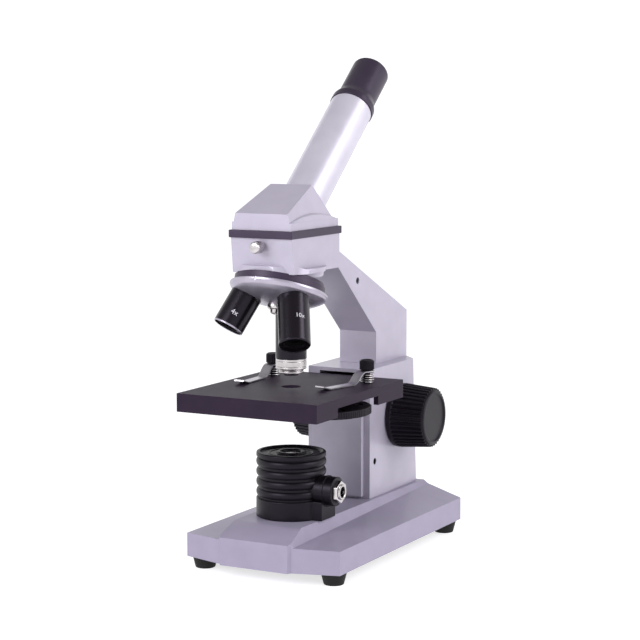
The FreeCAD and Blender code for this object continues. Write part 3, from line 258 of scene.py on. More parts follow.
def steady(graph, value, low, high):
    """A noise value spread from low to high."""
    return graph.node("ShaderNodeMapRange", {}, {
        "Value": value, "From Min": 0.3, "From Max": 0.7, "To Min": low, "To Max": high})


def grained_finish(name, dark, light, grain_mm, bump_mm, roughness, metallic=0.0, coat=0.0,
                   coat_roughness=0.2, cloud_mm=14.0, stretch=(1, 1, 1), specular=0.5, sheen_tint="ffffff"):
    """A finish with clouds of colour, a fine grain in its gloss and in its bump."""
    graph = new_finish(name)
    cloud = grain(graph, cloud_mm)
    fine = grain(graph, grain_mm, 3.0, stretch)
    colour = blended(graph, steady(graph, cloud * 0.6 + fine * 0.4, 0.0, 1.0), tone(dark), tone(light))
    surface(graph, {
        "Base Color": colour,
        "Metallic": metallic,
        "Roughness": steady(graph, fine * 0.7 + cloud * 0.3, roughness - 0.05, roughness + 0.05),
        "Normal": bumped(graph, fine, bump_mm, 0.6),
        "Coat Weight": coat,
        "Coat Roughness": coat_roughness,
        "Specular IOR Level": specular,
        "Specular Tint": tone(sheen_tint),
    })


LILAC = "e2d6f0"
grained_finish("silver_paint", "a59fb0", "afa9ba", 0.22, 0.004, 0.36, 0.2, 0.22, 0.09, specular=0.3)
# shaded_silver_paint is the silver paint made darker and duller: painted shade for the base, which gets less
# light than the head and arm
grained_finish("shaded_silver_paint", "8f889d", "9891a7", 0.22, 0.004, 0.45, 0.1, 0.2, 0.1, specular=0.15)
grained_finish("black_paint", "221a27", "291f2e", 0.35, 0.02, 0.5, specular=0.14, sheen_tint=LILAC)
grained_finish("black_plastic", "070508", "0b080c", 0.5, 0.008, 0.4, specular=0.28, sheen_tint=LILAC)
grained_finish("soft_black_plastic", "2b2232", "33293b", 0.4, 0.015, 0.42, specular=0.45, sheen_tint=LILAC)
grained_finish("black_barrel", "080508", "0c080c", 0.3, 0.003, 0.24, specular=0.35, sheen_tint=LILAC)
grained_finish("matt_black", "020102", "040304", 0.3, 0.003, 0.9, specular=0.1)
grained_finish("eyepiece_plastic", "251d2b", "2c2333", 0.4, 0.01, 0.36, specular=0.5, sheen_tint=LILAC)
grained_finish("rubber", "0a090a", "100e10", 0.3, 0.03, 0.65, specular=0.3)
grained_finish("circuit_board", "0f3d25", "17512f", 0.8, 0.02, 0.45, coat=0.4)
print("grained finishes:", ", ".join(FINISHES))

# %% [markdown]
# ## Bare metals
# A bright metal shows its making in its gloss. A turned piece has fine rings, a spring strip has long
# brush lines, and plating is nearly a mirror. Stretching the noise along one axis draws such lines, and
# the same recipe makes them when metallic is 1.

# %% Metals
grained_finish("bright_metal", "b9b4b6", "d2cecf", 0.5, 0.003, 0.2, 1.0, cloud_mm=5.0)
grained_finish("spring_steel", "a39ea6", "bcb8bf", 0.12, 0.004, 0.3, 1.0, stretch=(1, 0.08, 1), cloud_mm=6.0)
grained_finish("screw_steel", "7d797c", "9a9698", 0.3, 0.01, 0.34, 1.0, cloud_mm=3.0)
grained_finish("brass", "a8843c", "c29d50", 0.3, 0.008, 0.3, 1.0, cloud_mm=6.0)
grained_finish("turned_alloy", "a19bab", "b4aebd", 0.18, 0.004, 0.32, 0.8, 0.15, 0.2, cloud_mm=10.0)
print("metals ready")

# %% [markdown]
# ## The satin tube
# The tube is aluminium, turned and then blasted to a pearly satin. Its light runs down it in soft bands.
# The rings that the turning left are very fine, so they come from a wave along the tube's own axis: a
# dot product with that axis gives the distance along it, in Object coordinates.

# %% Satin tube finish
graph = new_finish("satin_tube")
place = graph.node("ShaderNodeTexCoord", {}, {}, "Object")
along = graph.node("ShaderNodeVectorMath", {"operation": "DOT_PRODUCT"}, {
    0: place, 1: (0, math.sin(TUBE_LEAN), math.cos(TUBE_LEAN))}, "Value")
RING_STEP = 0.35 * MM
rings = graph.node("ShaderNodeMath", {"operation": "SINE"}, {0: along * (2 * math.pi / RING_STEP)})
blast = grain(graph, 0.25, 3.0)
cloud = grain(graph, 20.0)
surface(graph, {
    "Base Color": blended(graph, steady(graph, cloud, 0.0, 1.0), tone("c6c1d0"), tone("cfcad8")),
    "Metallic": 0.55,
    "Roughness": steady(graph, blast, 0.33, 0.41),
    "Normal": bumped(graph, blast * 0.8 + rings * 0.1, 0.004, 0.5),
    "Coat Weight": 0.15,
    "Coat Roughness": 0.3,
})
print("satin tube ready")

# %% [markdown]
# ## Glass, window and lamp
# Lenses are clear and smooth, so only their own values are set. The lamp window is a frosted disc that
# spreads the light of the LED, and the LED is a clear bead of resin. The front lenses of the objectives
# are coated and look into a dark barrel, so they are nearly black.

# %% Clear and frosted finishes
for name, colour, roughness, through, index in (
        ("lens_glass", "e4e8f2", 0.02, 0.9, 1.52),
        ("led_resin", "e8ebd8", 0.08, 0.6, 1.5),
        ("coated_lens", "030306", 0.1, 0.0, 1.12)):
    graph = new_finish(name)
    surface(graph, {"Base Color": tone(colour), "Roughness": roughness, "Transmission Weight": through,
                    "IOR": index, "Coat Weight": 0.4, "Coat Roughness": 0.03})
grained_finish("frosted_window", "232027", "2d2a31", 0.5, 0.02, 0.3, coat=0.5, coat_roughness=0.1)
grained_finish("white_mark", "bdbac3", "cbc9d0", 0.5, 0.005, 0.5)
print("finishes in all:", len(FINISHES))

# %% [markdown]
# ## Every CAD node gets its finish
# The record names a material slot for each node. The node keeps its shape, and only its material slots
# are filled again. The grub screws sit deep in their holes, so their finish is matt black: painted shade
# for the dark of the holes. Pieces that are made finer below replace their node afterwards.

# %% Finishes for the CAD nodes
def coloured(mesh, finish):
    """A mesh with one finish."""
    mesh.materials.clear()
    mesh.materials.append(FINISHES[finish])
    return mesh


NODE_SLOT = {part["node"]: part["material_slot"] for part in frame["record"]["subparts"]}
for node, thing in frame["nodes"].items():
    # the grub screws take matt black instead of their slot: painted shade of the deep holes they sit in
    coloured(thing.data, "matt_black" if node == "grub_screws" else NODE_SLOT[node])
print("nodes with a finish:", len(NODE_SLOT))

# %% [markdown]
# ## Bringing a mesh home
# A finished piece is one plain mesh at the origin, with its place in its vertices. It rides on a body,
# takes a finish, and may replace a CAD node. Faces that meet at a small angle are shaded as one smooth
# skin, and the others keep a crisp edge. A Weighted Normal modifier lets the large faces rule, so that a
# flat wall next to a rounded edge stays flat in its shading.

# %% Finish a piece
BODY_OF = {node: body for body, nodes in frame["record"]["behaviour"]["bodies"].items() for node in nodes}
MADE = []


def plain_mesh(work):
    """Turn a bmesh into a mesh, with its faces as they are."""
    mesh = bpy.data.meshes.new("work")
    work.to_mesh(mesh)
    work.free()
    return mesh


def mesh_of(work):
    """The same, with its faces outwards."""
    bmesh.ops.recalc_face_normals(work, faces=work.faces)
    return plain_mesh(work)


def linked(thing):
    """Put an object into the scene."""
    bpy.context.scene.collection.objects.link(thing)
    return thing


def temporary(mesh):
    """An object that only carries a mesh while it is worked on."""
    return linked(bpy.data.objects.new("work", mesh))


def baked(thing):
    """The mesh of an object with its modifiers applied. The object itself is removed."""
    bpy.context.view_layer.update()
    depsgraph = bpy.context.evaluated_depsgraph_get()
    mesh = bpy.data.meshes.new_from_object(thing.evaluated_get(depsgraph), depsgraph=depsgraph)
    bpy.data.objects.remove(thing)
    return mesh


def piece(name, mesh, finish, node, hides=True, smooth=38.0):
    """Link a mesh as a piece that rides with a CAD node, and stands for it where it hides it."""
    if finish:
        coloured(mesh, finish)
    mesh.shade_smooth()
    mesh.set_sharp_from_angle(angle=math.radians(smooth))
    shaded = temporary(mesh)
    even = shaded.modifiers.new("Even", "WEIGHTED_NORMAL")
    even.keep_sharp = True
    even.weight = 80
    mesh = baked(shaded)
    mesh.name = name
    thing = linked(bpy.data.objects.new(name, mesh))
    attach(thing, BODY_OF[node])
    if hides:
        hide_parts(node)
    MADE.append(name)
    return thing


print("piece helper ready")

# %% [markdown]
# ## Rounded castings
# A die casting has no sharp edge anywhere: the paint pulls off one, and light catches the small radius.
# That thin bright line is what makes a casting look real. The shape itself is right in CAD, so a copy of
# the node is merged into clean faces, and a Bevel modifier rounds the edges by the real radius.

# %% Round the edges of a CAD node
def combine(thing, mesh, operation):
    """Cut a mesh from an object, add it, or keep what both share. The tool is given back, to be removed."""
    tool = temporary(mesh)
    modifier = thing.modifiers.new("Combine", "BOOLEAN")
    modifier.operation = operation
    modifier.solver = "EXACT"
    modifier.object = tool
    return tool


def carved(mesh, tool_mesh, operation):
    """A mesh combined with another one."""
    thing = temporary(mesh)
    tool = combine(thing, tool_mesh, operation)
    result = baked(thing)
    bpy.data.objects.remove(tool)
    return result


def softened(node, radius_mm, finish, cuts=(), adds=()):
    """A copy of a CAD node with its sharp edges rounded, after meshes are cut from it or added to it."""
    work = bmesh.new()
    work.from_mesh(frame["nodes"][node].data)
    bmesh.ops.remove_doubles(work, verts=work.verts, dist=0.002 * MM)
    bmesh.ops.dissolve_limit(work, angle_limit=math.radians(0.7), verts=work.verts, edges=work.edges)
    thing = temporary(plain_mesh(work))
    tools = [combine(thing, mesh, "DIFFERENCE") for mesh in cuts]
    tools += [combine(thing, mesh, "UNION") for mesh in adds]
    bevel = thing.modifiers.new("Round", "BEVEL")
    bevel.width = radius_mm * MM
    bevel.segments = 3
    bevel.limit_method = "ANGLE"
    bevel.angle_limit = math.radians(32.0)
    bevel.use_clamp_overlap = True
    bevel.miter_outer = "MITER_ARC"
    mesh = baked(thing)
    for tool in tools:
        bpy.data.objects.remove(tool)
    return piece(node + "_rounded", mesh, finish, node, smooth=40.0)


for node, radius, finish in (
        # the base casting takes the darker copy of the silver paint: painted shade
        ("base_casting", 1.1, "shaded_silver_paint"),
        ("pillar_housing", 0.7, "silver_paint"),
        ("guide_plate", 0.5, "silver_paint"),
        ("arm", 0.8, "silver_paint"),
        ("head_band", 0.4, "soft_black_plastic"),
        ("stage_plate", 0.5, "black_paint"),
        ("stage_carriage", 0.4, "black_paint"),
        ("base_cover", 0.3, "black_paint"),
        ("lamp_base", 0.5, "black_plastic"),
        ("jack_nut", 0.2, "bright_metal"),
):
    made = softened(node, radius, finish)
    print(made.name, len(made.data.polygons), "faces")

# %% [markdown]
# ## Turned pieces
# Barrels, rings, lenses and feet are turned, so their whole shape is one profile. The profile is a list of
# pairs, the radius and the place along the axis. Going round in small steps joins it into a skin, and where
# the profile starts or ends on the axis, the pole is one point, so the skin is closed.

# %% Turn a profile
def turned_mesh(profile, matrix=Matrix(), steps=96):
    """A closed skin of revolution about Z, put on its axis by a matrix. Sizes are in millimetres."""
    work = bmesh.new()
    rows = []
    for radius, along in profile:
        if radius == 0:
            rows.append([work.verts.new((0, 0, along * MM))])
            continue
        row = []
        for step in range(steps):
            angle = 2 * math.pi * step / steps
            x, y = radius * MM * math.cos(angle), radius * MM * math.sin(angle)
            row.append(work.verts.new((x, y, along * MM)))
        rows.append(row)
    closed = profile[0][0] != 0
    pairs = list(zip(rows, rows[1:] + rows[:1])) if closed else list(zip(rows, rows[1:]))
    for lower, upper in pairs:
        for step in range(steps):
            after = (step + 1) % steps
            corners = [lower[step % len(lower)], lower[after % len(lower)],
                       upper[after % len(upper)], upper[step % len(upper)]]
            corners = list(dict.fromkeys(corners))
            if len(corners) > 2:
                work.faces.new(corners)
    work.transform(matrix)
    return mesh_of(work)


def eased(corners, radius, steps=4):
    """The profile with each named corner rounded: corners are (radius, along) or (radius, along, round)."""
    out = []
    count = len(corners)
    for place, corner in enumerate(corners):
        bend = corner[2] if len(corner) > 2 else radius
        here = Vector(corner[:2])
        before, after = Vector(corners[place - 1][:2]), Vector(corners[(place + 1) % count][:2])
        if bend == 0 or here.x == 0 or (place in (0, count - 1) and corners[0][0] == 0):
            out.append((here.x, here.y))
            continue
        back, ahead = before - here, after - here
        cut = min(bend, back.length * 0.45, ahead.length * 0.45)
        start, end = here + back.normalized() * cut, here + ahead.normalized() * cut
        for step in range(steps + 1):
            part = step / steps
            point = start * (1 - part) ** 2 + here * 2 * part * (1 - part) + end * part ** 2
            out.append((point.x, point.y))
    return out


def turned(corners, bend, matrix, steps=96):
    """A skin of revolution whose profile is eased first."""
    return turned_mesh(eased(corners, bend), matrix, steps)


def domed(radius, along, rise, steps):
    """The end of a profile that closes in a dome: a quarter of an oval, from its rim to the axis."""
    angles = [step * math.pi / (2 * steps) for step in range(steps)]
    curve = [(radius * math.cos(angle), along + rise * math.sin(angle)) for angle in angles]
    return curve + [(0, along + rise)]


def lofted(work, rows):
    """Join rows of points in a bmesh to one skin, closed by a face at each end."""
    for lower, upper in zip(rows, rows[1:]):
        for corner in range(len(lower)):
            after = (corner + 1) % len(lower)
            work.faces.new([lower[corner], lower[after], upper[after], upper[corner]])
    work.faces.new(rows[0])
    work.faces.new(rows[-1])


def joined(*meshes):
    """Several meshes as one, each with its own material kept."""
    work = bmesh.new()
    materials = []
    for mesh in meshes:
        start = len(work.faces)
        work.from_mesh(mesh)
        work.faces.ensure_lookup_table()
        shift = len(materials)
        for face in work.faces[start:]:
            face.material_index += shift
        materials += [material for material in mesh.materials] or [None]
    mesh = plain_mesh(work)
    for material in materials:
        mesh.materials.append(material)
    return mesh


print("lathe ready")

# %% [markdown]
# ## Head block and its seat
# The head block is a casting too. Under it, a low round seat with a rounded rim carries the nosepiece,
# and behind it the slanted ring leaves a wedge of air. The copy of the block is cut off flat at its
# underside, and the seat and the slanted post are turned and added under it.

# %% Block, seat and post
def block_shape(x0, x1, y0, y1, z0, z1):
    """A plain brick between two corners, in millimetres, to cut with or to add."""
    work = bmesh.new()
    low, high = at(x0, y0, z0), at(x1, y1, z1)
    size = high - low
    move = Matrix.Translation((low + high) / 2) @ Matrix.Diagonal((size.x, size.y, size.z, 1))
    bmesh.ops.create_cube(work, size=1.0, matrix=move)
    return mesh_of(work)


softened("head_block", 0.7, "silver_paint", cuts=[block_shape(-40, 40, -60, 40, 140, 176.45)])
seat = turned([(0, 172.7), (21.8, 172.7, 1.6), (22.0, 177.0, 0.1), (0, 177.0)], 0.1,
              Matrix.Translation(at(0, -6.5, 0)), 128)
post = turned_mesh([(0, 3.4), (8.0, 3.4), (8.0, 14.0), (0, 14.0)], ON_TURRET)
piece("head_seat_turned", joined(coloured(seat, "silver_paint"), coloured(post, "silver_paint")), None,
      "head_block", hides=False)
print("head block made")

# %% [markdown]
# ## Cap with its shoulders
# The cap over the prism is faceted: a slanted face to the front and one leaning face on each side. Where
# the side faces meet the square foot of the cap, the foot swells to a low rounded shoulder, so its upper
# edge is an arc. The shoulder is a plate whose top is that arc and whose outside leans in a little. It is
# joined to the copy of the cap before the edges are rounded.

# %% Cap
def shoulder(side):
    """The swollen part of the cap's foot on one side."""
    work = bmesh.new()
    rows = []
    for step in range(25):
        part = step / 24
        y = -33.6 + part * 55.2
        rise = 4.3 * math.sin(math.pi * part) ** 0.8
        outline = [(13.0, 204.0), (18.9, 204.0), (18.9, 204.6 + rise * 0.35), (18.3, 204.9 + rise * 0.8),
                   (17.2, 205.0 + rise), (13.0, 205.0 + rise)]
        rows.append([work.verts.new(at(side * x, y, z)) for x, z in outline])
    lofted(work, rows)
    return mesh_of(work)


softened("head_cap", 0.8, "silver_paint", adds=[shoulder(1), shoulder(-1)])
print("cap made")

# %% [markdown]
# ## The eyepiece
# The eyepiece is a black plastic barrel with a flared collar that rests on the tube. Its end is rounded for
# the eye and opens on a lens. The lens has a curved upper face, and it sits below the rim, under a lip of
# the barrel that would hold it.

# %% Eyepiece, lenses and tube
RIM = 83.4
piece("eyepiece_body_turned", turned([
    (9.5, RIM - 24), (11.55, RIM - 24), (11.55, RIM, 0.1), (13.5, RIM, 0.3), (13.5, RIM + 4.0, 0.5),
    (11.6, RIM + 8.6, 1.2), (11.45, RIM + 12, 0), (11.45, RIM + 34.6, 1.1), (10.0, RIM + 35.9, 0.8),
    (7.4, RIM + 35.9, 0.5), (7.0, RIM + 33.5, 0.2), (9.5, RIM + 33.5, 0)], 0.15, ON_TUBE, 128),
    "eyepiece_plastic", "eyepiece_body")
lens_profile = [(0, RIM + 30.1), (9.4, RIM + 30.1)] + domed(9.4, RIM + 32.3, 1.1, 8)
piece("eye_lens_ground", turned_mesh(lens_profile, ON_TUBE), "lens_glass", "eye_lens")
piece("eyepiece_tube_turned", turned([
    (11.6, -2.0), (13.0, -2.0), (13.0, 83.3, 0.4), (11.6, 83.3, 0.2)], 0.1, ON_TUBE, 160),
    "satin_tube", "eyepiece_tube")
print("eyepiece and tube made")

# %% [markdown]
# ## The revolving nosepiece
# The disc under the head carries the three objectives. It is a thin domed plate with a bright turned rim,
# and a spring drops into one of three small notches in that rim as each objective clicks into place. The
# fixed black ring above it covers its bearing. The notches are cut with a Boolean, since each is one plain
# cut in a round plate.

# %% Disc with its notches
disc = turned([
    (0, -6.8), (6.5, -6.8, 1.0), (14.0, -5.7, 4.0), (19.5, -4.2, 3.0), (24.0, -2.3, 2.0), (27.2, -0.2, 1.0),
    (27.9, 1.2, 0.5), (28.2, 1.5, 0.15), (28.2, 2.7, 0.3), (27.8, 3.0, 0.2), (0, 3.0)], 0.3, ON_TURRET, 192)
notches = bmesh.new()
for turn in (60, 180, 300):
    spot = Matrix.Rotation(math.radians(turn + 90), 4, "Z") @ Matrix.Translation((28.5 * MM, 0, 1.6 * MM))
    bmesh.ops.create_cone(notches, cap_ends=True, segments=24, radius1=0.8 * MM, radius2=0.8 * MM,
                          depth=5 * MM, matrix=ON_TURRET @ spot)
piece("turret_disc_turned", carved(disc, mesh_of(notches), "DIFFERENCE"), "turned_alloy", "turret_disc")
print("disc made")

# %% [markdown]
# ## Under the head block
# A narrower black collar stands on the ring and ends just under the block. A silver packing of the same
# slant fills what shows behind the block's front edge, above the collar. Its limits come from the corners
# of the block itself.

# %% Collar, packing, ring and pivot
collar = carved(turned([(20.5, 7.0), (24.9, 7.0), (24.9, 9.4, 0.4), (20.5, 9.4)], 0.2, ON_TURRET, 160),
                block_shape(-40, 40, -60, 40, 176.35, 190), "DIFFERENCE")
block_corners = [vertex.co for vertex in frame["nodes"]["head_block"].data.vertices]
foot_corners = [corner for corner in block_corners if corner.z < at(0, 0, 180).z]
front_edge = (min(corner.y for corner in foot_corners) - AXIS_Y) / MM + 0.05
side_edge = max(corner.x for corner in foot_corners) / MM - 0.7
packing = carved(turned([(20.5, 7.0), (25.9, 7.0), (25.9, 12.0), (20.5, 12.0)], 0.1, ON_TURRET, 160),
                 block_shape(-side_edge, side_edge, front_edge, -12, 176.3, 181), "INTERSECT")
piece("nosepiece_collar_turned", collar, "soft_black_plastic", "nosepiece_ring", hides=False)
piece("head_packing_turned", packing, "silver_paint", "head_block", hides=False)
piece("nosepiece_ring_turned", turned([
    (20.5, 3.2), (26.0, 3.2, 0.5), (26.0, 7.2, 0.3), (20.5, 7.2)], 0.2, ON_TURRET, 160),
    "soft_black_plastic", "nosepiece_ring")
piece("turret_pivot_turned", turned([
    (0, -8.2), (1.3, -8.2, 0.1), (1.5, -11.6, 0.1), (2.6, -11.6, 0.4),
    (3.0, -9.6, 0.1), (4.2, -9.4, 0.6), (5.0, -8.2, 0.4), (5.0, -6.8, 0.1),
    (2.95, -6.8, 0), (2.95, 18.7, 0.3), (0, 18.7)], 0.1, ON_TURRET), "bright_metal", "turret_pivot")
print("nosepiece made")

# %% [markdown]
# ## Ribs and knurls
# Knobs, screw heads and rings are gripped by ribs that repeat round a rim. Geometry Nodes fit this well:
# one rib is a line swept with a small oval, and the tree copies it round the axis. The tree has named
# inputs, so the same one makes forty broad flutes on a knob or many fine teeth on a ring.

# %% A tree that sets ribs round an axis
def tree_with(name, inputs):
    """A geometry tree: its graph, and a wire for each input, which has a first value or a type of socket."""
    tree = bpy.data.node_groups.new(name, "GeometryNodeTree")
    tree.interface.new_socket("Geometry", in_out="OUTPUT", socket_type="NodeSocketGeometry")
    for label, value in inputs.items():
        kind = {int: "NodeSocketInt", float: "NodeSocketFloat"}.get(type(value), value)
        made = tree.interface.new_socket(label, in_out="INPUT", socket_type=kind)
        if kind != value:
            made.default_value = value
    graph = Graph(tree)
    entry = tree.nodes.new("NodeGroupInput")
    wires = {label: Wire(graph, graph.find(entry.outputs, label)) for label in inputs}
    return graph, wires


def vector(graph, **parts):
    """Numbers joined to a vector, as X, Y and Z. Those that aren't given are zero."""
    return graph.node("ShaderNodeCombineXYZ", {}, parts)


def grow(graph, points, shape, material, turn=(0, 0, 0)):
    """End a tree: a shape set on points, made real, given its material and put out."""
    copies = graph.node("GeometryNodeInstanceOnPoints", {}, {
        "Points": points, "Instance": shape, "Rotation": turn})
    real = graph.node("GeometryNodeRealizeInstances", {}, {"Geometry": copies})
    shown = graph.node("GeometryNodeSetMaterial", {}, {"Geometry": real, "Material": material})
    graph.node("NodeGroupOutput", {}, {"Geometry": shown})


def made_by(graph, values, start=None):
    """Run a tree with values for its named inputs, and give its result as a plain mesh."""
    host = temporary(start or bpy.data.meshes.new("host"))
    modifier = host.modifiers.new("Grow", "NODES")
    modifier.node_group = graph.tree
    ids = {item.name: item.identifier for item in graph.tree.interface.items_tree if item.in_out == "INPUT"}
    for label, value in values.items():
        modifier[ids[label]] = value
    return baked(host)


ribs_round, rib = tree_with("ribs_round", {
    "Count": 40, "Start Radius": 0.019, "End Radius": 0.018, "Start": 0.0, "End": 0.02,
    "Width": 0.0015, "Height": 0.001, "Material": "NodeSocketMaterial"})
line = ribs_round.node("GeometryNodeCurvePrimitiveLine", {}, {
    "Start": vector(ribs_round, X=rib["Start Radius"], Z=rib["Start"]),
    "End": vector(ribs_round, X=rib["End Radius"], Z=rib["End"])})
oval = ribs_round.node("GeometryNodeCurvePrimitiveCircle", {}, {"Resolution": 12, "Radius": 1.0})
oval = ribs_round.node("GeometryNodeTransform", {}, {
    "Geometry": oval, "Scale": vector(ribs_round, X=rib["Height"], Y=rib["Width"] * 0.5, Z=1.0)})
one_rib = ribs_round.node("GeometryNodeCurveToMesh", {}, {
    "Curve": line, "Profile Curve": oval, "Fill Caps": True})
spots = ribs_round.node("GeometryNodePoints", {}, {"Count": rib["Count"]})
number = ribs_round.node("GeometryNodeInputIndex")
turn = vector(ribs_round, Z=number * (2 * math.pi) / rib["Count"])
grow(ribs_round, spots, one_rib, rib["Material"], turn)


def ribs(count, start_radius, end_radius, start, end, width, height, finish, matrix):
    """A ring of ribs, sizes in millimetres, put on its axis."""
    mesh = made_by(ribs_round, {
        "Count": count, "Start Radius": start_radius * MM, "End Radius": end_radius * MM, "Start": start * MM,
        "End": end * MM, "Width": width * MM, "Height": height * MM, "Material": FINISHES[finish]})
    mesh.transform(matrix)
    return mesh


sample = ribs(40, 19.0, 17.3, 3.5, 22.5, 1.7, 0.9, "black_plastic", RIGHT_SHAFT)
low_corner = [min(vertex.co[axis] for vertex in sample.vertices) / MM for axis in range(3)]
print("a ring of ribs:", len(sample.polygons), "faces, low corner", [round(v, 1) for v in low_corner])

# %% [markdown]
# ## Focus knobs
# The two focus knobs are moulded in black plastic. Next to the pillar they have a plain band, and from
# there forty rounded flutes taper to the outer face, which is a shallow dish with a flat middle. The core
# is turned to the depth of the flutes, and the ribs are grown on it.

# %% Both knobs
for side, shaft in (("right", RIGHT_SHAFT), ("left", LEFT_SHAFT)):
    lift = shaft @ Matrix.Translation((0, 0, 21.5 * MM))
    core = turned([
        (0, 22.0), (3.0, 22.0, 0), (3.0, 0, 0.1), (19.4, 0, 0.5), (19.75, 0.8, 0.5), (19.75, 2.9, 0.4),
        (18.9, 3.5, 0.1), (17.35, 22.6, 0.8), (16.4, 24.2, 0.4), (14.8, 24.4, 0.3), (14.2, 23.5, 0.4),
        (0, 23.5)], 0.2, lift, 128)
    grip = ribs(40, 18.95, 17.3, 3.3, 23.1, 1.75, 0.82, "black_plastic", lift)
    piece("knob_%s_fluted" % side, joined(coloured(core, "black_plastic"), grip), None, "knob_" + side)
print("knobs made")

# %% [markdown]
# ## Objectives
# Each objective is a black barrel with its power in white. The low power has a silver ring at its mouth,
# the middle power is a plain long barrel whose mouth is chamfered, and the high power ends in a bright
# stepped collar with a small lens. Each barrel has a fine turned groove near the nosepiece. The barrels
# are alike down to that groove, so their profiles share its points.

# %% Barrels, noses and front lenses
GROOVED = [(6.0, -47.6), (9.0, -47.6), (9.0, -52.0, 0), (8.8, -52.2, 0), (9.0, -52.4, 0)]


def black_barrel(name, ending):
    """The barrel of one objective: the shared points and then its own end."""
    piece("objective_%s_barrel_turned" % name, turned(GROOVED + ending, 0.1, STATIONS[name], 128),
          "black_barrel", "objective_%s_barrel" % name)


black_barrel("low", [(9.0, -71.5, 0.15), (6.0, -71.5)])
piece("objective_low_nose_turned", turned([
    (8.0, -71.5), (8.95, -71.5, 0.1), (8.95, -72.3, 0.2), (8.6, -72.5, 0.1), (8.4, -72.4, 0.1)], 0.1,
    STATIONS["low"], 128), "turned_alloy", "objective_low_nose")
piece("objective_low_mouth_turned", turned([
    (5.0, -71.3), (8.4, -71.3), (8.4, -72.2, 0.1), (8.0, -72.2, 0.1), (6.6, -70.2, 0.2), (5.0, -70.0)], 0.1,
    STATIONS["low"]), "matt_black", "objective_low_nose", hides=False)
black_barrel("middle", [
    (9.0, -80.6, 0.2), (8.4, -81.3, 0.2), (7.9, -81.2, 0.15), (7.6, -79.0, 0), (6.0, -78.8)])
piece("objective_middle_nose_turned", turned([
    (3.5, -73.3), (6.0, -73.3), (6.0, -78.3), (4.2, -78.3, 0.3), (3.5, -77.6)], 0.1, STATIONS["middle"]),
    "matt_black", "objective_middle_nose")
black_barrel("high", [(9.0, -80.0, 0.2), (6.0, -80.2)])
bright_nose = turned([
    (3.0, -80.1), (8.85, -80.1, 0.1), (8.85, -81.2, 0.1), (8.6, -81.35, 0.1), (8.85, -81.5, 0.1),
    (8.85, -84.4, 0.1), (8.6, -84.55, 0.1), (8.85, -84.7, 0.1), (8.85, -85.9, 0.3), (7.2, -86.1, 0.1),
    (7.2, -87.0, 0.1), (6.9, -87.2, 0.1), (7.2, -87.4, 0.1), (7.2, -88.5, 0.3), (4.4, -88.9, 0.2),
    (4.2, -89.9, 0.4), (1.6, -90.1, 0.2), (1.5, -89.6, 0)], 0.12, STATIONS["high"], 128)
knurl = ribs(64, 8.6, 8.6, -84.2, -81.7, 0.45, 0.3, "bright_metal", STATIONS["high"])
piece("objective_high_nose_turned", joined(coloured(bright_nose, "bright_metal"), knurl), None,
      "objective_high_nose")
front_lenses = [
    turned_mesh([(0, 0), (radius, 0), (radius * 0.9, -0.5), (radius * 0.5, -0.75), (0, -0.85)],
                STATIONS[name] @ Matrix.Translation((0, 0, depth * MM)), 48)
    for name, radius, depth in (("low", 5.0, -69.6), ("middle", 3.5, -76.8), ("high", 1.5, -89.0))]
piece("objective_lenses_domed", joined(*front_lenses), "coated_lens", "objective_lenses")
print("objectives made")

# %% [markdown]
# ## Powers on the barrels
# The power of an objective is printed on its barrel. A text curve is made a mesh first. It is then cut
# finely and wrapped: the distance along the line of text becomes an angle round the barrel. Only plain
# powers are printed, nothing else.

# %% Wrap a number round a barrel
FIGURE_RADIUS = 9.03


def power_mark(text, name, turns, height, tall=4.3):
    """White figures wrapped on a barrel at a height on its axis, facing a direction round it."""
    curve = bpy.data.curves.new("figures", "FONT")
    curve.body = text
    curve.size = tall * MM
    curve.align_x = "CENTER"
    curve.align_y = "CENTER"
    curve.extrude = 0.012 * MM
    curve.resolution_u = 3
    work = bmesh.new()
    work.from_mesh(baked(linked(bpy.data.objects.new("figures", curve))))
    bmesh.ops.triangulate(work, faces=work.faces)
    for _ in range(3):
        long_edges = [edge for edge in work.edges if edge.calc_length() > 0.5 * MM]
        if long_edges:
            bmesh.ops.subdivide_edges(work, edges=long_edges, cuts=1)
            bmesh.ops.triangulate(work, faces=work.faces)
    for vertex in work.verts:
        angle = vertex.co.x / (FIGURE_RADIUS * MM) + math.radians(turns)
        reach = FIGURE_RADIUS * MM + vertex.co.z
        vertex.co = Vector((reach * math.cos(angle), reach * math.sin(angle), vertex.co.y + height * MM))
    work.transform(STATIONS[name])
    piece("power_mark_" + name, plain_mesh(work), "white_mark", "objective_%s_barrel" % name, hides=False)


def facing(name, direction):
    """The turn round a barrel's axis, in degrees, that faces a direction of the scene."""
    local = STATIONS[name].to_3x3().inverted() @ Vector(direction)
    return math.degrees(math.atan2(local.y, local.x))


FRONT_RIGHT = (math.sin(math.radians(28)), -math.cos(math.radians(28)), 0.1)
power_mark("4x", "low", facing("low", FRONT_RIGHT) - 4, -64.5)
power_mark("10x", "middle", facing("middle", FRONT_RIGHT) + 25, -66.5, 3.7)
power_mark("40x", "high", facing("high", (0, 1, 0)), -66.0)
print("powers printed")

# %% [markdown]
# ## Lamp with its cooling ribs
# The lamp is a ribbed black drum. Rounded rings repeat up its side at an even step, so a tree stacks them:
# one ring is a circle swept with an oval, and it is set on the points of an upright line. The cap on top
# is a shallow dish with a raised rim and a second ring round the window.

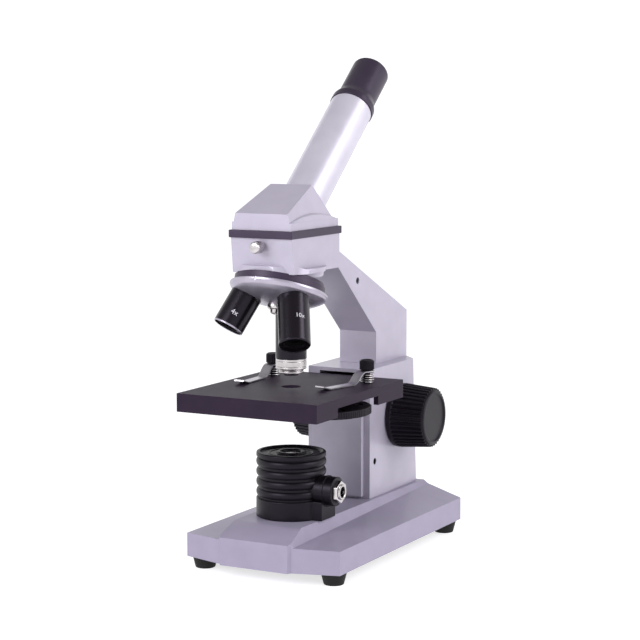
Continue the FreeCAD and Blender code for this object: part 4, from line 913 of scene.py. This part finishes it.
# %% A tree that stacks rings
ring_stack, stack = tree_with("ring_stack", {
    "Count": 5, "Radius": 0.0192, "Step": 0.0045, "Height": 0.0032, "Depth": 0.0024,
    "Material": "NodeSocketMaterial"})
circle = ring_stack.node("GeometryNodeCurvePrimitiveCircle", {}, {
    "Resolution": 112, "Radius": stack["Radius"]})
section = ring_stack.node("GeometryNodeCurvePrimitiveCircle", {}, {"Resolution": 16, "Radius": 1.0})
section = ring_stack.node("GeometryNodeTransform", {}, {
    "Geometry": section, "Scale": vector(ring_stack, X=stack["Depth"] * 0.5, Y=stack["Height"] * 0.5, Z=1.0)})
one_ring = ring_stack.node("GeometryNodeCurveToMesh", {}, {"Curve": circle, "Profile Curve": section})
levels = ring_stack.node("GeometryNodeMeshLine", {"mode": "OFFSET"}, {
    "Count": stack["Count"], "Offset": vector(ring_stack, Z=stack["Step"])})
grow(ring_stack, levels, one_ring, stack["Material"])

# %% Lamp housing, cap and window
rib_rings = made_by(ring_stack, {"Count": 4, "Radius": 18.9 * MM, "Step": 5.9 * MM, "Height": 4.7 * MM,
                                 "Depth": 3.0 * MM, "Material": FINISHES["black_plastic"]})
rib_rings.transform(Matrix.Translation(at(0, 0, 47.4)))
drum = turned_mesh([(17.8, 44.0), (19.0, 44.0), (19.0, 68.0), (17.8, 68.0)], UPRIGHT, 128)
piece("lamp_housing_ribbed", joined(coloured(drum, "black_plastic"), rib_rings), None, "lamp_housing")
piece("lamp_cap_turned", turned([
    (5.7, 68.0), (20.3, 68.0, 0.6), (20.3, 70.8, 1.0), (18.2, 70.9, 0.5), (17.4, 69.5, 0.6),
    (13.6, 69.5, 0.3), (13.2, 69.9, 0.2), (12.4, 69.9, 0.2), (12.0, 69.5, 0.3), (8.9, 69.5, 0.4),
    (8.3, 70.7, 0.5), (6.3, 70.7, 0.5), (5.7, 69.9, 0.2)], 0.2, UPRIGHT, 128), "black_plastic", "lamp_cap")
window_profile = [(0, 68.2), (5.65, 68.2)] + domed(5.65, 69.0, 0.7, 8)
piece("lamp_window_domed", turned_mesh(window_profile, UPRIGHT), "frosted_window", "lamp_window")
print("lamp made")

# %% [markdown]
# ## Power socket
# The socket stands out of the lamp on its right side: a black barrel with a flange, a bright hexagon nut
# and a threaded neck round the opening. The threads are fine rings, since at this size no one can tell
# them from a helix, and rings close on themselves.

# %% Socket barrel with its thread
ALONG_RIGHT = placed(at(0, 0, 49.5), (1, 0, 0))
THREAD_STEP = 0.55
thread = []
for turn_number in range(6):
    thread += [(4.38, 33.6 - turn_number * THREAD_STEP), (4.12, 33.35 - turn_number * THREAD_STEP)]
barrel = turned([
    (3.15, 16.0), (8.5, 16.0), (8.5, 23.5, 0), (9.0, 23.5, 0.2), (9.0, 24.7, 0.2), (8.5, 24.7, 0.1),
    (8.5, 30.1, 0.5), (4.2, 30.3), (3.15, 30.3)], 0.2, ALONG_RIGHT)
neck = turned_mesh([(3.15, 33.6), (3.4, 33.85), (4.2, 33.85)] + thread + [(4.2, 30.25), (3.15, 30.25)],
                   ALONG_RIGHT, 64)
piece("jack_socket_turned", joined(coloured(barrel, "black_plastic"), coloured(neck, "bright_metal")),
      None, "jack_socket")
print("socket made")

# %% [markdown]
# ## Clip posts, springs and clips
# Two posts hold the slide clips. Each has a knurled black head that is pressed down with a finger, and a
# coil spring under the clip. A spring follows a rule, so a tree draws it: a spiral with no change of radius
# is swept with the wire, and the tree sets one on each post.

# %% Posts with knurled heads
POST_X, POST_Y = 31.5, 34.5
post_meshes = []
for x in (-POST_X, POST_X):
    foot = Matrix.Translation(at(x, POST_Y, 0))
    post_meshes.append(coloured(turned([
        (0, 103.3), (2.0, 103.3), (2.0, 115.8, 0), (3.7, 115.8, 0.3), (4.0, 116.4, 0.2), (4.0, 121.2, 0.4),
        (3.5, 121.9, 0.4), (2.6, 121.9, 0.2), (2.3, 121.5, 0.2), (0, 121.5)], 0.1, foot, 64),
        "black_plastic"))
    post_meshes.append(ribs(30, 3.95, 3.95, 116.3, 121.2, 0.6, 0.36, "black_plastic", foot))
piece("clip_posts_knurled", joined(*post_meshes), None, "clip_posts")
print("posts made")

# %% A tree that winds a spring on each post
spring_pair, coil = tree_with("spring_pair", {
    "Turns": 4.0, "Radius": 0.0033, "Wire": 0.0004, "Tall": 0.005, "Apart": 0.063,
    "Material": "NodeSocketMaterial"})
helix = spring_pair.node("GeometryNodeCurveSpiral", {}, {
    "Resolution": 40, "Rotations": coil["Turns"], "Height": coil["Tall"],
    "Start Radius": coil["Radius"], "End Radius": coil["Radius"]})
wire_round = spring_pair.node("GeometryNodeCurvePrimitiveCircle", {}, {
    "Resolution": 10, "Radius": coil["Wire"]})
one_coil = spring_pair.node("GeometryNodeCurveToMesh", {}, {
    "Curve": helix, "Profile Curve": wire_round, "Fill Caps": True})
both = spring_pair.node("GeometryNodeMeshLine", {"mode": "OFFSET"}, {
    "Count": 2, "Offset": vector(spring_pair, X=coil["Apart"])})
grow(spring_pair, both, one_coil, coil["Material"])
springs = made_by(spring_pair, {"Turns": 4.0, "Radius": 3.9 * MM, "Wire": 0.38 * MM, "Tall": 5.4 * MM,
                                "Apart": 2 * POST_X * MM, "Material": FINISHES["bright_metal"]})
springs.transform(Matrix.Translation(at(-POST_X, POST_Y, 108.85)))
piece("clip_springs_wound", springs, None, "clip_springs", smooth=60.0)
print("springs made")

# %% [markdown]
# ## Slide clips
# A clip is a strip of spring steel. It lies flat under the post, drops in a soft bend to the stage, and
# turns up at its tip so that a slide can be pushed under it. The side view of the strip is a smooth curve
# through a few points, and each step of it becomes a row of eight points round the strip, whose edges are
# slightly rounded. The strip is wider where the post goes through it.

# %% Bend the clips
def smooth_line(points, steps=6):
    """Points of a smooth curve through the given ones."""
    ends = [points[0]] + points + [points[-1]]
    line_points = []
    for place in range(1, len(ends) - 2):
        p0, p1, p2, p3 = [Vector(ends[place + shift]) for shift in (-1, 0, 1, 2)]
        for step in range(steps):
            t = step / steps
            line_points.append(0.5 * ((2 * p1) + (p2 - p0) * t + (2 * p0 - 5 * p1 + 4 * p2 - p3) * t * t
                                      + (3 * p1 - p0 - 3 * p2 + p3) * t ** 3))
    return line_points + [Vector(points[-1])]


CLIP_SIDE = [
    (3.4, 115.2), (0, 115.2), (-3.5, 115.2), (-5.8, 115.0), (-8.5, 113.3), (-11.8, 110.2), (-14.2, 109.0),
    (-17.0, 108.85), (-25.0, 108.85), (-34.0, 108.85), (-36.6, 109.0), (-39.5, 109.7), (-42.9, 110.75)]
CLIP_EDGE = [(-1, 0.25), (-0.93, 0.4), (0.93, 0.4), (1, 0.25),
             (1, -0.25), (0.93, -0.4), (-0.93, -0.4), (-1, -0.25)]
CLIP_HALF = 3.2


def clip_mesh(x, turn):
    """One clip, swivelled about its post."""
    path = smooth_line([Vector(point) for point in CLIP_SIDE])
    work = bmesh.new()
    rows = []
    for place, point in enumerate(path):
        ahead = path[min(place + 1, len(path) - 1)] - path[max(place - 1, 0)]
        normal = Vector((-ahead.y, ahead.x)).normalized()
        if normal.y < 0:
            normal = -normal
        swell = 1.1 * max(0, 1 - ((point.x + 0.3) / 4.2) ** 2) if point.x > -4 else 0
        row = []
        for side, level in CLIP_EDGE:
            spot = point + normal * level
            row.append(work.verts.new((side * (CLIP_HALF + swell) * MM, spot.x * MM, spot.y * MM)))
        rows.append(row)
    lofted(work, rows)
    eye_profile = eased([(2.1, 114.8), (4.35, 114.8, 0.2), (4.35, 115.6, 0.2), (2.1, 115.6)], 0.1, 2)
    work.from_mesh(turned_mesh(eye_profile, steps=48))
    work.transform(Matrix.Translation(at(x, POST_Y, 0)) @ Matrix.Rotation(math.radians(turn), 4, "Z"))
    return mesh_of(work)


piece("clip_right_bent", clip_mesh(POST_X, -12.0), "spring_steel", "clip_right", smooth=30.0)
piece("clip_left_bent", clip_mesh(-POST_X, 2.0), "spring_steel", "clip_left", smooth=30.0)
print("clips bent")

# %% [markdown]
# ## Diaphragm and lock screw
# The diaphragm disc lies under the stage and is turned with a finger at its rim, so the rim is knurled.
# The lock screw at the front of the head has a small bright head with a straight knurl and a domed face.

# %% Knurled rim and lock screw
softened("diaphragm_disc", 0.5, "black_plastic")
rim_teeth = ribs(110, 27.3, 27.3, 95.1, 98.9, 0.85, 0.42, "black_plastic",
                 Matrix.Translation(at(21.0, 0, 0)))
piece("diaphragm_rim_knurl", rim_teeth, None, "diaphragm_disc", hides=False)
LOCK = placed(at(0, 0, 191.5), (0, -1, 0))
lock = turned_mesh([
    (0, 14.3), (1.9, 14.3), (2.0, 14.5), (2.0, 35.4), (3.0, 35.4), (3.2, 35.7), (3.2, 41.4),
    (3.0, 41.75)] + domed(2.9, 41.9, 0.45, 6), LOCK, 64)
lock_knurl = ribs(28, 3.15, 3.15, 35.8, 41.2, 0.46, 0.34, "bright_metal", LOCK)
piece("head_lock_screw_knurled", joined(coloured(lock, "bright_metal"), lock_knurl), None, "head_lock_screw")
print("lock screw made")

# %% [markdown]
# ## Rubber feet
# The four feet are cones of black rubber, narrow at the table. All four are alike, so one profile is turned
# at each corner, to the height and width of the foot's own box. The screw that holds a foot is sunk in its
# middle.

# %% Feet
for node in ("foot_front_right", "foot_front_left", "foot_back_right", "foot_back_left"):
    low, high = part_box(node)
    middle = Matrix.Translation(((low.x + high.x) / 2, (low.y + high.y) / 2, low.z))
    top, tall = (high.x - low.x) / 2 / MM, (high.z - low.z) / MM
    piece(node + "_moulded", turned([
        (1.55, tall / 2), (3.3, tall / 2), (3.3, 0), (5.7, 0, 0.6), (top - 0.1, tall - 0.8, 0.5),
        (top - 0.1, tall, 0.1), (1.55, tall)], 0.2, middle, 64), "rubber", node)
print("feet made")

# %% [markdown]
# ## Screws with a driven head
# Screws hold the feet, the stage and the arm. Their heads are round and have a hexagon socket for a key.
# The sockets are the same on all of them, so a tree cuts one head and sets it on points that an empty mesh
# carries, one point for each screw.

# %% A tree that sets a screw head on each point
screw_heads, head = tree_with("screw_heads", {
    "Points": "NodeSocketGeometry", "Radius": 0.0029, "Tall": 0.002, "Key": 0.0013, "Shank": 0.0015,
    "Long": 0.010, "Material": "NodeSocketMaterial"})


def prism(sides, radius, tall, rise):
    """An upright prism or cylinder in the screw's tree, with its middle raised."""
    shape = screw_heads.node("GeometryNodeMeshCylinder", {}, {
        "Vertices": sides, "Radius": radius, "Depth": tall}, "Mesh")
    return screw_heads.node("GeometryNodeTransform", {}, {
        "Geometry": shape, "Translation": vector(screw_heads, Z=rise)})


round_head = prism(40, head["Radius"], head["Tall"], head["Tall"] * -0.5)
key_hole = prism(6, head["Key"], head["Tall"], head["Tall"] * -1.1)
cut_head = screw_heads.node("GeometryNodeMeshBoolean", {"operation": "DIFFERENCE"}, {
    "Mesh 1": round_head, "Mesh 2": key_hole}, "Mesh")
shank = prism(32, head["Shank"], head["Long"], head["Long"] * 0.5)
whole = screw_heads.node("GeometryNodeJoinGeometry", {}, {"Geometry": [cut_head, shank]})
grow(screw_heads, head["Points"], whole, head["Material"])


def screws(name, node, spots, long, turn=Matrix()):
    """Screws of one node: each spot is the underside of a head, in millimetres."""
    carrier = bpy.data.meshes.new("spots")
    carrier.from_pydata([turn.inverted() @ at(*spot) for spot in spots], [], [])
    mesh = made_by(screw_heads, {
        "Radius": 2.85 * MM, "Tall": 2.0 * MM, "Key": 1.45 * MM, "Shank": 1.45 * MM, "Long": long * MM,
        "Material": FINISHES["screw_steel"]}, carrier)
    mesh.transform(turn)
    piece(name, mesh, None, node)


foot_low, foot_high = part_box("foot_screws")
head_level = (foot_low.z - DATUM) / MM + 2.0
screws("foot_screws_set", "foot_screws", [(x, y, head_level) for x, y in (
    (42.2, -27.0), (-42.2, -27.0), (42.6, 120.5), (-42.6, 120.5))], (foot_high.z - foot_low.z) / MM - 2.0)
screws("stage_screws_set", "stage_screws", [(0, 29.0, 101.6), (0, 48.5, 101.6)], 5.6)
screws("arm_screws_set", "arm_screws", [(-7, 98.5, 109.4), (7, 98.5, 109.4), (0, 108.0, 109.4)], 10.2)
screws("head_block_screws_set", "head_block_screws", [(-8, 19.0, 185.0), (8, 19.0, 185.0)], 11.4,
       Matrix.Rotation(math.radians(-90), 4, "X"))
print("screws set")

# %% [markdown]
# ## Booth, light and camera
# A round white booth shows paint and plastic as they are: its floor runs up into a wall without a corner,
# and the sheet glows a little, so no horizon is seen. The open top is dimmer than the walls, so faces that
# look up are a little darker than faces that look sideways. Two soft panels, one at the right and one in
# front, are aimed at the head.

# %% Booth
booth_line = [(0, 0), (2400, 0)]
for step in range(13):
    angle = math.radians(step * 90 / 12)
    booth_line.append((2400 + 800 * math.sin(angle), 800 - 800 * math.cos(angle)))
booth_line += [(3200, 1700), (3210, 1700), (3210, -10), (0, -10)]
booth = linked(bpy.data.objects.new("booth", turned_mesh(booth_line)))
graph = new_finish("glowing_paper")
paper = grain(graph, 3.0)
surface(graph, {"Base Color": blended(graph, steady(graph, paper, 0.0, 1.0), tone("b8b8ba"), tone("bcbcbd")),
                "Roughness": 0.9, "Specular IOR Level": 0.1, "Emission Color": (1, 1, 1, 1),
                "Emission Strength": 0.7})
booth.data.materials.append(FINISHES["glowing_paper"])


def panel(name, place, target, size, power):
    """A square soft light that faces a target."""
    light = bpy.data.lights.new(name, "AREA")
    light.shape = "RECTANGLE"
    light.size, light.size_y = size
    light.energy = power
    thing = linked(bpy.data.objects.new(name, light))
    thing.location = place
    thing.rotation_euler = (Vector(target) - Vector(place)).to_track_quat("-Z", "Y").to_euler()


HEAD = (0, -0.03, 0.21)
panel("right_panel", (0.75, 0.1, 0.55), HEAD, (0.5, 0.6), 4.5)
panel("front_panel", (-0.25, -0.75, 0.5), HEAD, (0.5, 0.4), 4.5)

world = bpy.data.worlds.new("studio")
world.use_nodes = True
backdrop = world.node_tree.nodes["Background"]
backdrop.inputs["Color"].default_value = (1, 1, 1, 1)
backdrop.inputs["Strength"].default_value = 0.48
bpy.context.scene.world = world
bpy.context.scene.view_settings.view_transform = "Standard"
print("studio ready")

# %% Camera
lens = bpy.data.cameras.new("camera")
lens.lens = 107.4
lens.sensor_width = 36.0
lens.clip_start = 0.05
lens.clip_end = 30.0
camera = linked(bpy.data.objects.new("camera", lens))
camera.location = (0.53095, -0.99140, 0.2761 + DATUM)
camera.rotation_euler = (math.radians(83.25), 0.0, math.radians(28.25))
bpy.context.scene.camera = camera
print("camera ready")

# %% [markdown]
# ## Close the frame
# The last cell prints how many pieces were made.

# %% Count the pieces
print("pieces made:", len(MADE))
